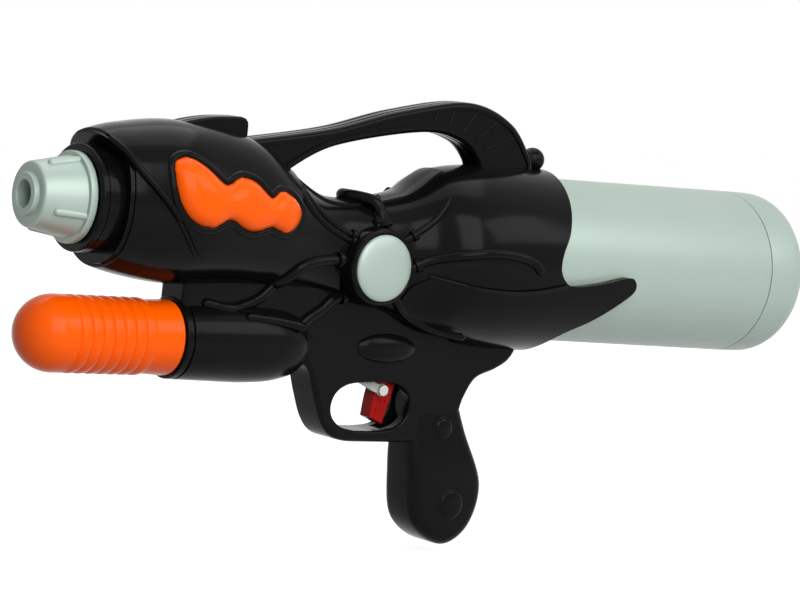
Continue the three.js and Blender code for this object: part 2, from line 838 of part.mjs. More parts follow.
// Nozzle with its lip, jet and finger ribs
const nozzleBack = 0;
const nozzleBore = BARREL_R + RUN_GAP;
const nozzleFloor = BARREL_FRONT_X - RUN_GAP;
let nozzleCap = turned([
  [0, NOZZLE_FRONT_X - NOZZLE_LIP_T],
  [NOZZLE_LIP_R, NOZZLE_FRONT_X - NOZZLE_LIP_T],
  [NOZZLE_LIP_R, NOZZLE_FRONT_X],
  [NOZZLE_FRONT_R, NOZZLE_FRONT_X],
  [NOZZLE_BACK_R, nozzleBack - NOZZLE_FLANGE_T],
  [NOZZLE_FLANGE_R, nozzleBack - NOZZLE_FLANGE_T],
  [NOZZLE_FLANGE_R, nozzleBack],
  [0, nozzleBack],
], 0, FACETS_LARGE);
for (let i = 0; i < NOZZLE_RIB_COUNT; i += 1) {
  const turn = rad(NOZZLE_RIB_TURN) + (FULL_TURN * i) / NOZZLE_RIB_COUNT;
  const rise = (x) => NOZZLE_BACK_R + ((NOZZLE_BACK_R - NOZZLE_FRONT_R) / (nozzleBack - NOZZLE_FRONT_X)) * x;
  const xa = nozzleBack - NOZZLE_FLANGE_T / 2;
  const xb = xa - NOZZLE_RIB_L;
  const ray = (x) => point(x, -rise(x) * Math.cos(turn), rise(x) * Math.sin(turn));
  nozzleCap = nozzleCap.add(rod(NOZZLE_RIB_R, ray(xb), ray(xa), 10));
}
nozzleCap = cut(
  nozzleCap,
  turned([
    [0, NOZZLE_FRONT_X - NOZZLE_LIP_T - 1],
    [NOZZLE_MOUTH_R, NOZZLE_FRONT_X - NOZZLE_LIP_T - 1],
    [NOZZLE_MOUTH_R - 1, nozzleFloor - NOZZLE_JET_T],
    [NOZZLE_JET_R, nozzleFloor - NOZZLE_JET_T],
    [NOZZLE_JET_R, nozzleFloor + 1],
    [0, nozzleFloor + 1],
  ], 0, FACETS_MID),
  rodX(nozzleBore, nozzleFloor, nozzleBack + 1, 0, FACETS_MID),
);

// Barrel tube with its ring groove, collar and hose spigot
const grooveHalf = BARREL_RING_R + FIT_GAP;
const barrelTube = cut(
  turned([
    [0, BARREL_FRONT_X],
    [BARREL_R, BARREL_FRONT_X],
    [BARREL_R, BARREL_RING_X - grooveHalf],
    [BARREL_R - 2 * BARREL_RING_R, BARREL_RING_X - grooveHalf],
    [BARREL_R - 2 * BARREL_RING_R, BARREL_RING_X + grooveHalf],
    [BARREL_R, BARREL_RING_X + grooveHalf],
    [BARREL_R, collarBack + FIT_GAP],
    [BARREL_COLLAR_R, collarBack + FIT_GAP],
    [BARREL_COLLAR_R, collarBack + FIT_GAP + BARREL_COLLAR_T],
    [BARREL_R, collarBack + FIT_GAP + BARREL_COLLAR_T],
    [BARREL_R, BARREL_BACK_X],
    [SPIGOT_R, BARREL_BACK_X],
    [SPIGOT_R, BARREL_BACK_X + SPIGOT_L],
    [0, BARREL_BACK_X + SPIGOT_L],
  ], 0, FACETS_MID),
  rodX(BARREL_BORE_R, BARREL_FRONT_X - 1, BARREL_BACK_X - WALL, 0, FACETS_MID),
);
const nozzleRing = ringX(BARREL_R - BARREL_RING_R + FIT_GAP / 2, BARREL_RING_R, BARREL_RING_X, 0);

// Pump: sliding grip over a fixed cylinder, rod and piston inside
const gripBack = SLEEVE_FRONT_X - RUN_GAP;
const pumpBore = CYLINDER_R + RUN_GAP;
const domeX = PUMP_GRIP_FRONT_X + PUMP_GRIP_R;
const gripProfile = [];
const domeSteps = 7;
for (let i = 0; i <= domeSteps; i += 1) {
  const a = (HALF_TURN / 2) * (i / domeSteps);
  gripProfile.push([PUMP_GRIP_R * Math.sin(a), domeX - PUMP_GRIP_R * Math.cos(a)]);
}
for (let i = 0; i < PUMP_GROOVE_COUNT; i += 1) {
  const x = PUMP_GROOVE_FIRST_X + i * PUMP_GROOVE_PITCH;
  gripProfile.push([PUMP_GRIP_R - PUMP_GROOVE_DEPTH, x]);
  gripProfile.push([PUMP_GRIP_R, x + PUMP_GROOVE_PITCH / 2]);
}
gripProfile.push([PUMP_GRIP_R, gripBack]);
gripProfile.push([0, gripBack]);
const gripFloor = CYLINDER_FRONT_X - GLAND_T - RUN_GAP;
const pumpGrip = cut(
  turned(gripProfile, PUMP_AXIS_Z, FACETS_MID),
  rodX(pumpBore, gripFloor, gripBack + 1, PUMP_AXIS_Z, FACETS_MID),
  rodX(ROD_R + FIT_GAP, gripFloor - ROD_SOCKET, gripFloor + 1, PUMP_AXIS_Z, FACETS_SMALL),
);
const pumpRod = rodX(ROD_R, gripFloor - ROD_SOCKET + FIT_GAP, PISTON_X - FIT_GAP, PUMP_AXIS_Z, FACETS_SMALL);
const cylinderBore = CYLINDER_R - CYLINDER_WALL;
const pistonR = cylinderBore - RUN_GAP;
const pistonMiddle = PISTON_X + PISTON_T / 2;
const pistonGroove = PISTON_RING_R + FIT_GAP;
const piston = turned([
  [0, PISTON_X],
  [pistonR, PISTON_X],
  [pistonR, pistonMiddle - pistonGroove],
  [pistonR - 2 * PISTON_RING_R, pistonMiddle - pistonGroove],
  [pistonR - 2 * PISTON_RING_R, pistonMiddle + pistonGroove],
  [pistonR, pistonMiddle + pistonGroove],
  [pistonR, PISTON_X + PISTON_T],
  [0, PISTON_X + PISTON_T],
], PUMP_AXIS_Z, FACETS_MID);
const pistonRing = ringX(pistonR - PISTON_RING_R + FIT_GAP / 2, PISTON_RING_R, pistonMiddle, PUMP_AXIS_Z);
const sleeveRingBack = SLEEVE_FRONT_X + RIB;
const pumpCylinder = cut(
  turned([
    [0, CYLINDER_FRONT_X],
    [CYLINDER_R, CYLINDER_FRONT_X],
    [CYLINDER_R, sleeveRingBack + FIT_GAP],
    [CYLINDER_COLLAR_R, sleeveRingBack + FIT_GAP],
    [CYLINDER_COLLAR_R, sleeveRingBack + FIT_GAP + CYLINDER_COLLAR_T],
    [CYLINDER_R, sleeveRingBack + FIT_GAP + CYLINDER_COLLAR_T],
    [CYLINDER_R, CYLINDER_BACK_X],
    [0, CYLINDER_BACK_X],
  ], PUMP_AXIS_Z, FACETS_MID),
  rodX(cylinderBore, CYLINDER_FRONT_X - 1, CYLINDER_BACK_X + 1, PUMP_AXIS_Z, FACETS_MID),
);
const glandSkirt = cylinderBore - FIT_GAP;
const cylinderGland = cut(
  turned([
    [0, CYLINDER_FRONT_X - GLAND_T],
    [CYLINDER_R, CYLINDER_FRONT_X - GLAND_T],
    [CYLINDER_R, CYLINDER_FRONT_X - FIT_GAP],
    [glandSkirt, CYLINDER_FRONT_X - FIT_GAP],
    [glandSkirt, CYLINDER_FRONT_X + GLAND_T],
    [0, CYLINDER_FRONT_X + GLAND_T],
  ], PUMP_AXIS_Z, FACETS_MID),
  rodX(ROD_R + RUN_GAP, CYLINDER_FRONT_X - GLAND_T - 1, CYLINDER_FRONT_X + GLAND_T + 1, PUMP_AXIS_Z, FACETS_SMALL),
);
const checkFlange = CYLINDER_BACK_X + FIT_GAP;
const checkBack = checkFlange + CHECK_FLANGE_T;
const checkValve = cut(
  turned([
    [0, CYLINDER_BACK_X - CHECK_PLUG],
    [glandSkirt, CYLINDER_BACK_X - CHECK_PLUG],
    [glandSkirt, checkFlange],
    [CYLINDER_R, checkFlange],
    [CYLINDER_R, checkBack],
    [SPIGOT_R, checkBack],
    [SPIGOT_R, checkBack + SPIGOT_L],
    [0, checkBack + SPIGOT_L],
  ], PUMP_AXIS_Z, FACETS_MID),
  rodX(glandSkirt - WALL, CYLINDER_BACK_X - CHECK_PLUG - 1, CYLINDER_BACK_X - WALL, PUMP_AXIS_Z, FACETS_MID),
);

// Trigger, link and valve; the link line runs forward and up from the link pin
const linkDir = point(-Math.cos(rad(LINK_SLOPE)), 0, Math.sin(rad(LINK_SLOPE)));
const linkUp = point(Math.sin(rad(LINK_SLOPE)), 0, Math.cos(rad(LINK_SLOPE)));
const along = (s, y = 0, up = 0) => point(LINK_PIN_X, y, LINK_PIN_Z)
  .addScaledVector(linkDir, s)
  .addScaledVector(linkUp, up);
const triggerShape = new THREE.Shape();
triggerShape.moveTo(TRIGGER_PIVOT_X - TRIGGER_HUB_R, TRIGGER_PIVOT_Z);
triggerShape.splineThru([
  at(TRIGGER_FACE_X + 1, HOLE_TOP_Z),
  at(TRIGGER_FACE_X, TRIGGER_FACE_Z),
  at(TRIGGER_TOE_X, TRIGGER_TOE_Z),
]);
triggerShape.lineTo(TRIGGER_TIP_X, TRIGGER_TIP_Z);
triggerShape.splineThru([
  at(TRIGGER_BACK_X, TRIGGER_BACK_Z),
  at(TRIGGER_PIVOT_X + TRIGGER_HUB_R, TRIGGER_PIVOT_Z),
]);
triggerShape.closePath();
let trigger = joined(
  slab(triggerShape, TRIGGER_HALF, 1, 0, 3, 1),
  rodY(TRIGGER_HUB_R, TRIGGER_PIVOT_X, TRIGGER_PIVOT_Z, -TRIGGER_HALF, TRIGGER_HALF, 20),
);
for (const side of [-1, 1]) {
  const lower = point((TRIGGER_TOE_X + TRIGGER_TIP_X) / 2, side * TRIGGER_HALF, TRIGGER_TIP_Z - 1);
  const upper = point((TRIGGER_FACE_X + TRIGGER_BACK_X) / 2 + 2, side * TRIGGER_HALF, LINK_PIN_Z - LINK_EYE_R - 2);
  trigger = trigger.subtract(rod(TRIGGER_GROOVE, lower, upper, 8));
}
trigger = cut(
  trigger,
  rodY(TRIGGER_PIN_R + FIT_GAP, TRIGGER_PIVOT_X, TRIGGER_PIVOT_Z, -OUTSIDE, OUTSIDE),
  rodY(LINK_PIN_R + FIT_GAP, LINK_PIN_X, LINK_PIN_Z, -OUTSIDE, OUTSIDE),
);
const frameBore = FRAME_HALF - WALL;
const pinEnd = frameBore + WALL / 2;
const triggerPin = rodY(TRIGGER_PIN_R, TRIGGER_PIVOT_X, TRIGGER_PIVOT_Z, FIT_GAP - pinEnd, pinEnd - FIT_GAP);
const linkNear = -(TRIGGER_HALF + RUN_GAP);
const linkFar = linkNear - LINK_T;
const pinHeadNear = linkFar - RUN_GAP;
const linkPin = joined(
  rodY(LINK_PIN_R, LINK_PIN_X, LINK_PIN_Z, pinHeadNear - LINK_PIN_HEAD_T / 2, TRIGGER_HALF - FIT_GAP),
  rodY(LINK_PIN_HEAD_R, LINK_PIN_X, LINK_PIN_Z, pinHeadNear - LINK_PIN_HEAD_T, pinHeadNear),
);
const linkBar = new THREE.BoxGeometry(LINK_LENGTH, LINK_T, 2 * LINK_HALF);
linkBar.rotateY(rad(LINK_SLOPE));
const barMiddle = along(LINK_LENGTH / 2, (linkNear + linkFar) / 2);
linkBar.translate(barMiddle.x, barMiddle.y, barMiddle.z);
const blockHalf = STEM_R + 1.2;
const linkBlock = new THREE.BoxGeometry(LINK_BLOCK_L, blockHalf - linkFar, 2 * LINK_HALF);
linkBlock.rotateY(rad(LINK_SLOPE));
const blockMiddle = along(LINK_LENGTH - LINK_BLOCK_L / 2, (blockHalf + linkFar) / 2);
linkBlock.translate(blockMiddle.x, blockMiddle.y, blockMiddle.z);
const smallHole = along(LINK_LENGTH / 2);
const valveLink = cut(
  joined(solid(linkBar), solid(linkBlock), rodY(LINK_EYE_R, LINK_PIN_X, LINK_PIN_Z, linkFar, linkNear)),
  rodY(LINK_PIN_R + LINK_EYE_PLAY, LINK_PIN_X, LINK_PIN_Z, -OUTSIDE, OUTSIDE),
  rodY(1, smallHole.x, smallHole.z, -OUTSIDE, OUTSIDE, 10),
  rod(STEM_R + FIT_GAP, along(LINK_LENGTH - LINK_BLOCK_L / 2), along(LINK_LENGTH + 1), 12),
);
const valveEnd = VALVE_START + VALVE_LENGTH;
const capFront = valveEnd - VALVE_CAP_T;
const sealBack = capFront - FIT_GAP - STEM_SEAL_T;
const valveStem = rod(STEM_R, along(LINK_LENGTH - LINK_BLOCK_L / 2 + FIT_GAP), along(sealBack - FIT_GAP), 12);
const valveSeal = rod(STEM_SEAL_R, along(sealBack), along(capFront - FIT_GAP), 16);
const valveBore = VALVE_R - VALVE_WALL;
const port = (s) => rod(SPIGOT_R, along(s, 0, VALVE_R - VALVE_WALL / 2), along(s, 0, VALVE_R + PORT_LENGTH), HOSE_SIDES);
const outletS = VALVE_START + OUTLET_PORT;
const inletS = VALVE_START + INLET_PORT;
const valveBody = cut(
  joined(rod(VALVE_R, along(VALVE_START), along(valveEnd), 20), port(outletS), port(inletS)),
  rod(valveBore, along(VALVE_START + VALVE_END_T), along(valveEnd + 1), 20),
  rod(STEM_R + RUN_GAP, along(VALVE_START - 1), along(VALVE_START + VALVE_END_T + 1), 12),
);
const valveCap = rod(valveBore - FIT_GAP, along(capFront), along(valveEnd), 20);
const springFrom = VALVE_START + VALVE_END_T + FIT_GAP + VALVE_SPRING_WIRE_R;
const springTo = sealBack - FIT_GAP - VALVE_SPRING_WIRE_R;
class Coil extends THREE.Curve {
  getPoint(t, target = new THREE.Vector3()) {
    const a = FULL_TURN * VALVE_SPRING_TURNS * t;
    const s = springFrom + (springTo - springFrom) * t;
    return target.copy(along(s, VALVE_SPRING_R * Math.cos(a), VALVE_SPRING_R * Math.sin(a)));
  }
}
const wireShape = new THREE.Shape();
wireShape.absarc(0, 0, VALVE_SPRING_WIRE_R, 0, FULL_TURN);
const springGeometry = new THREE.ExtrudeGeometry(wireShape, {
  steps: 9 * VALVE_SPRING_TURNS,
  curveSegments: 3,
  extrudePath: new Coil(),
});
const valveSpring = fixSign(indexed(springGeometry));

// Hoses
const socketPortZ = TANK_AXIS_Z - SOCKET_PORT_Z;
const outletTop = along(outletS, 0, VALVE_R + HOSE_LEAD);
const inletTop = along(inletS, 0, VALVE_R + HOSE_LEAD);
const outletPath = [
  along(outletS, 0, VALVE_R + FIT_GAP),
  along(outletS, 0, VALVE_R + HOSE_LEAD / 2),
  outletTop,
  point(outletTop.x + 1, 0, (outletTop.z + WAIST_BOTTOM) / 2),
  point(WAIST_X, 0, (WAIST_TOP + WAIST_BOTTOM) / 2),
  point(TAIL_X, 0, -4),
  point(BARREL_BACK_X + HOSE_LEAD, 0, 0),
  point(BARREL_BACK_X + HOSE_LEAD / 2, 0, 0),
  point(BARREL_BACK_X + FIT_GAP, 0, 0),
];
const waterPath = [
  along(inletS, 0, VALVE_R + FIT_GAP),
  along(inletS, 0, VALVE_R + HOSE_LEAD / 2),
  inletTop,
  point(inletTop.x + 5, -HOSE_LANE / 2, NECK_BOTTOM),
  point(NECK_X - 2, -HOSE_LANE, socketPortZ - 10),
  point(floorFront - HOSE_LEAD, -SOCKET_PORT_Y, socketPortZ),
  point(floorFront - HOSE_LEAD / 2, -SOCKET_PORT_Y, socketPortZ),
  point(floorFront - FIT_GAP, -SOCKET_PORT_Y, socketPortZ),
];
const airPath = [
  point(checkBack + FIT_GAP, 0, PUMP_AXIS_Z),
  point(checkBack + HOSE_LEAD / 2, 0, PUMP_AXIS_Z),
  point(checkBack + HOSE_LEAD * 0.9, HOSE_LANE / 4, PUMP_AXIS_Z + 2),
  point(outletTop.x, HOSE_LANE, PUMP_AXIS_Z + 14),
  point(NECK_X - 8, HOSE_LANE, socketPortZ - 12),
  point(floorFront - HOSE_LEAD, SOCKET_PORT_Y, socketPortZ),
  point(floorFront - HOSE_LEAD / 2, SOCKET_PORT_Y, socketPortZ),
  point(floorFront - FIT_GAP, SOCKET_PORT_Y, socketPortZ),
];
const spigotRoom = SPIGOT_R + FIT_GAP;
const portRoom = (sPort) => joined(
  rod(spigotRoom, along(sPort), along(sPort, 0, VALVE_R + PORT_LENGTH + FIT_GAP), HOSE_SIDES),
  rod(VALVE_R + FIT_GAP / 2, along(VALVE_START), along(valveEnd)),
);
const socketRoom = (y) => joined(
  rod(spigotRoom, point(floorFront - SPIGOT_L - FIT_GAP, y, socketPortZ), point(floorBack, y, socketPortZ), HOSE_SIDES),
  rodX(socketR, floorFront - FIT_GAP / 2, floorBack, TANK_AXIS_Z, FACETS_SMALL),
);
const outletHose = cut(
  tube(outletPath, HOSE_R, HOSE_BORE_R),
  portRoom(outletS),
  rodX(spigotRoom, BARREL_BACK_X - 1, BARREL_BACK_X + SPIGOT_L + FIT_GAP, 0, HOSE_SIDES),
);
const waterHose = cut(tube(waterPath, HOSE_R, HOSE_BORE_R), portRoom(inletS), socketRoom(-SOCKET_PORT_Y));
const airHose = cut(
  tube(airPath, HOSE_R, HOSE_BORE_R),
  socketRoom(SOCKET_PORT_Y),
  rodX(spigotRoom, checkBack - 1, checkBack + SPIGOT_L + FIT_GAP, PUMP_AXIS_Z, HOSE_SIDES),
  rodX(CYLINDER_R, checkFlange, checkBack + FIT_GAP / 2, PUMP_AXIS_Z, FACETS_SMALL),
);

// Outlines of handle, frame, guard and grip in side view
const handleShape = new THREE.Shape();
handleShape.moveTo(HANDLE_ROOT_X, HANDLE_ROOT_Z);
handleShape.splineThru([
  at(HANDLE_RISE_X, HANDLE_RISE_Z),
  at(HANDLE_LIFT_X, HANDLE_LIFT_Z),
  at(HANDLE_APEX_X, HANDLE_APEX_Z),
  at(HANDLE_BEND_X, HANDLE_BEND_Z),
  at(HANDLE_HEEL_X, HANDLE_HEEL_Z),
]);
handleShape.lineTo(HANDLE_FOOT_X, HANDLE_FOOT_Z);
handleShape.lineTo(HANDLE_LEG_X, HANDLE_FOOT_Z);
handleShape.lineTo(HANDLE_LEG_X - 1, HANDLE_LEG_Z + 2);
handleShape.splineThru([
  at(HANDLE_CROOK_X, HANDLE_CROOK_Z),
  at(HANDLE_SPAN_X, HANDLE_SPAN_Z),
  at(HANDLE_DIP_X, HANDLE_DIP_Z),
  at(HANDLE_THROAT_X, HANDLE_THROAT_Z),
]);
handleShape.lineTo(HANDLE_ROOT_X, HANDLE_THROAT_Z - 4);
handleShape.closePath();

const sightShape = new THREE.Shape();
sightShape.moveTo(SIGHT_FRONT_X, SIGHT_FRONT_Z);
sightShape.quadraticCurveTo((SIGHT_FRONT_X + SIGHT_BACK_X) / 2, SIGHT_BACK_Z, SIGHT_BACK_X, SIGHT_BACK_Z);
sightShape.lineTo(SIGHT_BACK_X, HANDLE_ROOT_Z - 6);
sightShape.lineTo(SIGHT_FRONT_X, HANDLE_ROOT_Z - 6);
sightShape.closePath();

const frameShape = new THREE.Shape();
frameShape.moveTo(FRAME_FRONT_X, FRAME_TOP_Z);
frameShape.lineTo(FRAME_FRONT_X, PUMP_AXIS_Z + CYLINDER_R / 2);
frameShape.lineTo(FRAME_BELLY_X, FRAME_BELLY_Z);
frameShape.lineTo(GUARD_FRONT_X, GUARD_FRONT_Z - 4);
frameShape.lineTo(HOLE_FRONT_X, HOLE_TOP_Z - 6);
frameShape.lineTo(HOLE_BACK_X - 4, HOLE_TOP_Z - 6);
frameShape.lineTo(HOLE_BACK_X - 4, HOLE_BOTTOM_Z);
frameShape.lineTo(GRIP_CROWN_X - 8, HOLE_BOTTOM_Z);
frameShape.splineThru([
  at(BACKSTRAP_X, BACKSTRAP_Z),
  at(TANG_ROOT_X, TANG_ROOT_Z),
  at(TANG_LOW_X, TANG_LOW_Z),
  at(TANG_TIP_X, TANG_TIP_Z),
]);
frameShape.lineTo(TANG_TIP_X - 6, FRAME_REAR_TOP_Z);
frameShape.lineTo(SHOULDER_X, FRAME_REAR_TOP_Z + 6);
frameShape.lineTo(NECK_X, FRAME_TOP_Z);
frameShape.closePath();

const guardShape = new THREE.Shape();
guardShape.moveTo(GUARD_FRONT_X, GUARD_FRONT_Z + 4);
guardShape.splineThru([
  at(GUARD_BOW_X, GUARD_BOW_Z),
  at(GUARD_LOW_X, GUARD_LOW_Z),
  at(HOLE_BACK_X + 8, GUARD_LOW_Z),
]);
guardShape.lineTo(HOLE_BACK_X + 14, HOLE_TOP_Z);
guardShape.lineTo(HOLE_BACK_X, HOLE_TOP_Z + 6);
guardShape.closePath();

const holeShape = new THREE.Shape();
holeShape.moveTo(HOLE_FRONT_X + HOLE_CURVE, HOLE_TOP_Z);
holeShape.lineTo(HOLE_BACK_X - HOLE_CURVE / 2, HOLE_TOP_Z);
holeShape.quadraticCurveTo(HOLE_BACK_X, HOLE_TOP_Z, HOLE_BACK_X, HOLE_TOP_Z - HOLE_CURVE / 2);
holeShape.lineTo(HOLE_BACK_X, HOLE_BOTTOM_Z + HOLE_CURVE);
holeShape.quadraticCurveTo(HOLE_BACK_X, HOLE_BOTTOM_Z, HOLE_BACK_X - HOLE_CURVE, HOLE_BOTTOM_Z);
holeShape.lineTo(HOLE_FRONT_X + HOLE_CURVE, HOLE_BOTTOM_Z);
holeShape.quadraticCurveTo(HOLE_FRONT_X, HOLE_BOTTOM_Z, HOLE_FRONT_X, HOLE_BOTTOM_Z + HOLE_CURVE);
holeShape.quadraticCurveTo(HOLE_FRONT_X, HOLE_TOP_Z, HOLE_FRONT_X + HOLE_CURVE, HOLE_TOP_Z);

const gripShape = new THREE.Shape();
gripShape.moveTo(HOLE_BACK_X + 3, HOLE_BOTTOM_Z + 2);
gripShape.splineThru([
  at(GRIP_FRONT_X, GRIP_FRONT_Z),
  at(GRIP_TOE_X, GRIP_TOE_Z),
  at(GRIP_BOTTOM_X, GRIP_BOTTOM_Z),
  at(GRIP_HEEL_X, GRIP_HEEL_Z),
  at(GRIP_BACK_X, GRIP_BACK_Z),
  at(GRIP_CROWN_X, GRIP_CROWN_Z),
  at(BACKSTRAP_X, BACKSTRAP_Z - 2),
]);
gripShape.lineTo(HOLE_BACK_X + 10, BACKSTRAP_Z - 2);
gripShape.closePath();

// Three-lobed side panel outline, nose to tail
const panelOutline = (grow) => {
  const lobe = (x, z, r) => rodY(r + grow, x, z, -SIDE_REACH, SIDE_REACH, FACETS_SMALL + 4);
  const bridge = (xa, za, ra, xb, zb, rb) => {
    const span = new THREE.Vector2(xb - xa, zb - za);
    const side = new THREE.Vector2(-span.y, span.x).normalize();
    const shape = new THREE.Shape();
    const wa = ra + grow;
    const wb = rb + grow;
    shape.moveTo(xa + side.x * wa, za + side.y * wa);
    shape.lineTo(xb + side.x * wb, zb + side.y * wb);
    shape.lineTo(xb - side.x * wb, zb - side.y * wb);
    shape.lineTo(xa - side.x * wa, za - side.y * wa);
    shape.closePath();
    return prism(shape, -SIDE_REACH, SIDE_REACH);
  };
  return joined(
    lobe(LOBE_A_X, LOBE_A_Z, LOBE_A_R),
    lobe(LOBE_B_X, LOBE_B_Z, LOBE_B_R),
    lobe(LOBE_C_X, LOBE_C_Z, LOBE_C_R),
    lobe(LOBE_TIP_X, LOBE_TIP_Z, LOBE_TIP_R),
    bridge(LOBE_TIP_X, LOBE_TIP_Z, LOBE_TIP_R, LOBE_A_X, LOBE_A_Z, LOBE_A_R),
    bridge(LOBE_A_X, LOBE_A_Z, LOBE_A_R * LOBE_NECK, LOBE_B_X, LOBE_B_Z, LOBE_B_R * LOBE_NECK),
    bridge(LOBE_B_X, LOBE_B_Z, LOBE_B_R * LOBE_NECK, LOBE_C_X, LOBE_C_Z, LOBE_C_R * LOBE_NECK),
  );
};

const leftSide = box(-OUTSIDE, 2 * OUTSIDE, -OUTSIDE, -SEAM_GAP / 2, -OUTSIDE, OUTSIDE);
const rightSide = box(-OUTSIDE, 2 * OUTSIDE, SEAM_GAP / 2, OUTSIDE, -OUTSIDE, OUTSIDE);

const bodyPanel = body(PANEL_RISE);
const bodySeat = body(-PANEL_DEPTH);
const bodyPanelBack = body(FIT_GAP - PANEL_DEPTH);
const panelBoth = panelOutline(0).intersect(bodyPanel).subtract(bodyPanelBack);
const sidePanelLeft = panelBoth.intersect(leftSide);
const sidePanelRight = panelBoth.intersect(rightSide);

// Medallion
const medallionFloor = HUB_FACE_Y - MEDALLION_SEAT;
function medallion(side) {
  const profile = [at(0, medallionFloor + FIT_GAP), at(MEDALLION_R, medallionFloor + FIT_GAP)];
  const steps = 5;
  for (let i = 0; i <= steps; i += 1) {
    const a = (HALF_TURN / 2) * (i / steps);
    profile.push(at(MEDALLION_R * Math.cos(a), HUB_FACE_Y + MEDALLION_RISE * Math.sin(a)));
  }
  const geometry = new THREE.LatheGeometry(profile, FACETS_MID);
  if (side < 0) {
    geometry.rotateX(HALF_TURN);
  }
  geometry.translate(HUB_X, 0, HUB_Z);
  return fixSign(geometry);
}

// Raised pipes from the hub over the side of the body
function surfaceY(x, z, lift) {
  let t = 0.5;
  let low = 0;
  let high = 1;
  for (let i = 0; i < 24; i += 1) {
    t = (low + high) / 2;
    if (heights.getPoint(t).x < x) {
      low = t;
    } else {
      high = t;
    }
  }
  const tall = heights.getPoint(t);
  const wide = widths.getPoint(t);
  const middle = (tall.y + tall.z) / 2;
  const up = (tall.y - tall.z) / 2;
  const ratio = Math.min(1, Math.abs((z - middle) / up));
  const y = wide.y * (1 - ratio ** wide.z) ** (1 / wide.z);
  return Math.max(y, FRAME_HALF) + lift;
}

const pipe = (side, points) => tube(
  points.map(([x, z]) => point(x, side * surfaceY(x, z, 0), z)),
  PIPE_R,
  0,
  PIPE_SIDES,
  PIPE_STEPS,
);

// Whole housing before it is halved
const handleSolid = slab(handleShape, HANDLE_HALF, HANDLE_EDGE, 0, 3, 1);
const sightSolid = slab(sightShape, SIGHT_HALF, 1.2, 0, 5, 1);
const sleeveProfile = (grow, front) => [
  [0, front],
  [SLEEVE_FRONT_R + grow, front],
  [SLEEVE_BELLY_R + grow, SLEEVE_BELLY_X],
  [SLEEVE_BELLY_R * 0.96 + grow, SLEEVE_BELLY_X + (SLEEVE_BACK_X - SLEEVE_BELLY_X) * 0.4],
  [SLEEVE_BELLY_R * 0.82 + grow, SLEEVE_BELLY_X + (SLEEVE_BACK_X - SLEEVE_BELLY_X) * 0.7],
  [SLEEVE_BELLY_R * 0.5 + grow, SLEEVE_BACK_X - 3],
  [0, SLEEVE_BACK_X + grow],
];
const sleeveSolid = turned(sleeveProfile(0, SLEEVE_FRONT_X), PUMP_AXIS_Z, FACETS_MID);
const sleeveHollow = turned(sleeveProfile(-WALL, SLEEVE_FRONT_X + RIB), PUMP_AXIS_Z, FACETS_MID);

const collar = cut(
  rodX(COLLAR_R, COLLAR_FRONT_X, collarBack, 0, FACETS_LARGE),
  cut(
    rodX(COLLAR_R + 1, COLLAR_GROOVE_X, COLLAR_GROOVE_X + COLLAR_GROOVE_T, 0, FACETS_LARGE),
    rodX(COLLAR_R - COLLAR_GROOVE_T, COLLAR_GROOVE_X - 1, COLLAR_GROOVE_X + 2, 0, FACETS_LARGE),
  ),
);

const cheekShape = new THREE.Shape();
cheekShape.moveTo(CHEEK_FRONT_X, CHEEK_FRONT_Z);
cheekShape.quadraticCurveTo((CHEEK_FRONT_X + FIN_ROOT_X) / 2, FIN_ROOT_Z - 8, FIN_ROOT_X, FIN_ROOT_Z);
cheekShape.lineTo(CUP_END_X, FIN_ROOT_Z + 8);
cheekShape.lineTo(CUP_END_X, CUP_BOTTOM - 5);
cheekShape.lineTo(CHEEK_FRONT_X + 20, CUP_BOTTOM - 5);
cheekShape.quadraticCurveTo(CHEEK_FRONT_X + 12, CHEEK_FRONT_Z - 10, CHEEK_FRONT_X, CHEEK_FRONT_Z);
const cheek = body(CHEEK_T).intersect(prism(cheekShape, -SIDE_REACH, SIDE_REACH));

const hubBoss = (side) => {
  const far = side < 0 ? [-HUB_FACE_Y, -WALL] : [WALL, HUB_FACE_Y];
  return rodY(HUB_R, HUB_X, HUB_Z, far[0], far[1], FACETS_LARGE - 6);
};

const pipesFor = (side) => [
  pipe(side, [[HUB_X - 12, HUB_Z + 12], [HUB_X - 32, HUB_Z + 14], [112, 2], [100, 16]]),
  pipe(side, [[HUB_X - 16, HUB_Z + 4], [HUB_X - 34, HUB_Z + 2], [100, -37], [70, -41]]),
  pipe(side, [[HUB_X - 14, HUB_Z - 10], [HUB_X - 30, HUB_Z - 16], [116, -50]]),
  pipe(side, [[HUB_X + 14, HUB_Z + 12], [184, -4], [197, 12]]),
  pipe(side, [[HUB_X + 16, HUB_Z + 4], [194, -12], [226, -9], [246, -13], [252, -18]]),
  pipe(side, [[HUB_X + 8, HUB_Z - 16], [186, -46], [210, -52]]),
];

let outer = joined(
  bodyOuter,
  collar,
  handleSolid,
  sightSolid,
  slab(frameShape, FRAME_HALF, FRAME_EDGE, 0, 2, 1),
  slab(guardShape, GUARD_HALF, 2, 0, 3, 1),
  slab(gripShape, GRIP_HALF, GRIP_EDGE, 0, 2, 2),
  sleeveSolid,
  cheek,
  hubBoss(-1),
  hubBoss(1),
  ...pipesFor(-1),
  ...pipesFor(1),
);
const ball = new THREE.SphereGeometry(HANDLE_BALL_R, FACETS_SMALL, FACETS_FINE);
ball.translate(HANDLE_BALL_X, 0, HANDLE_BALL_Z);
outer = outer.add(solid(ball));

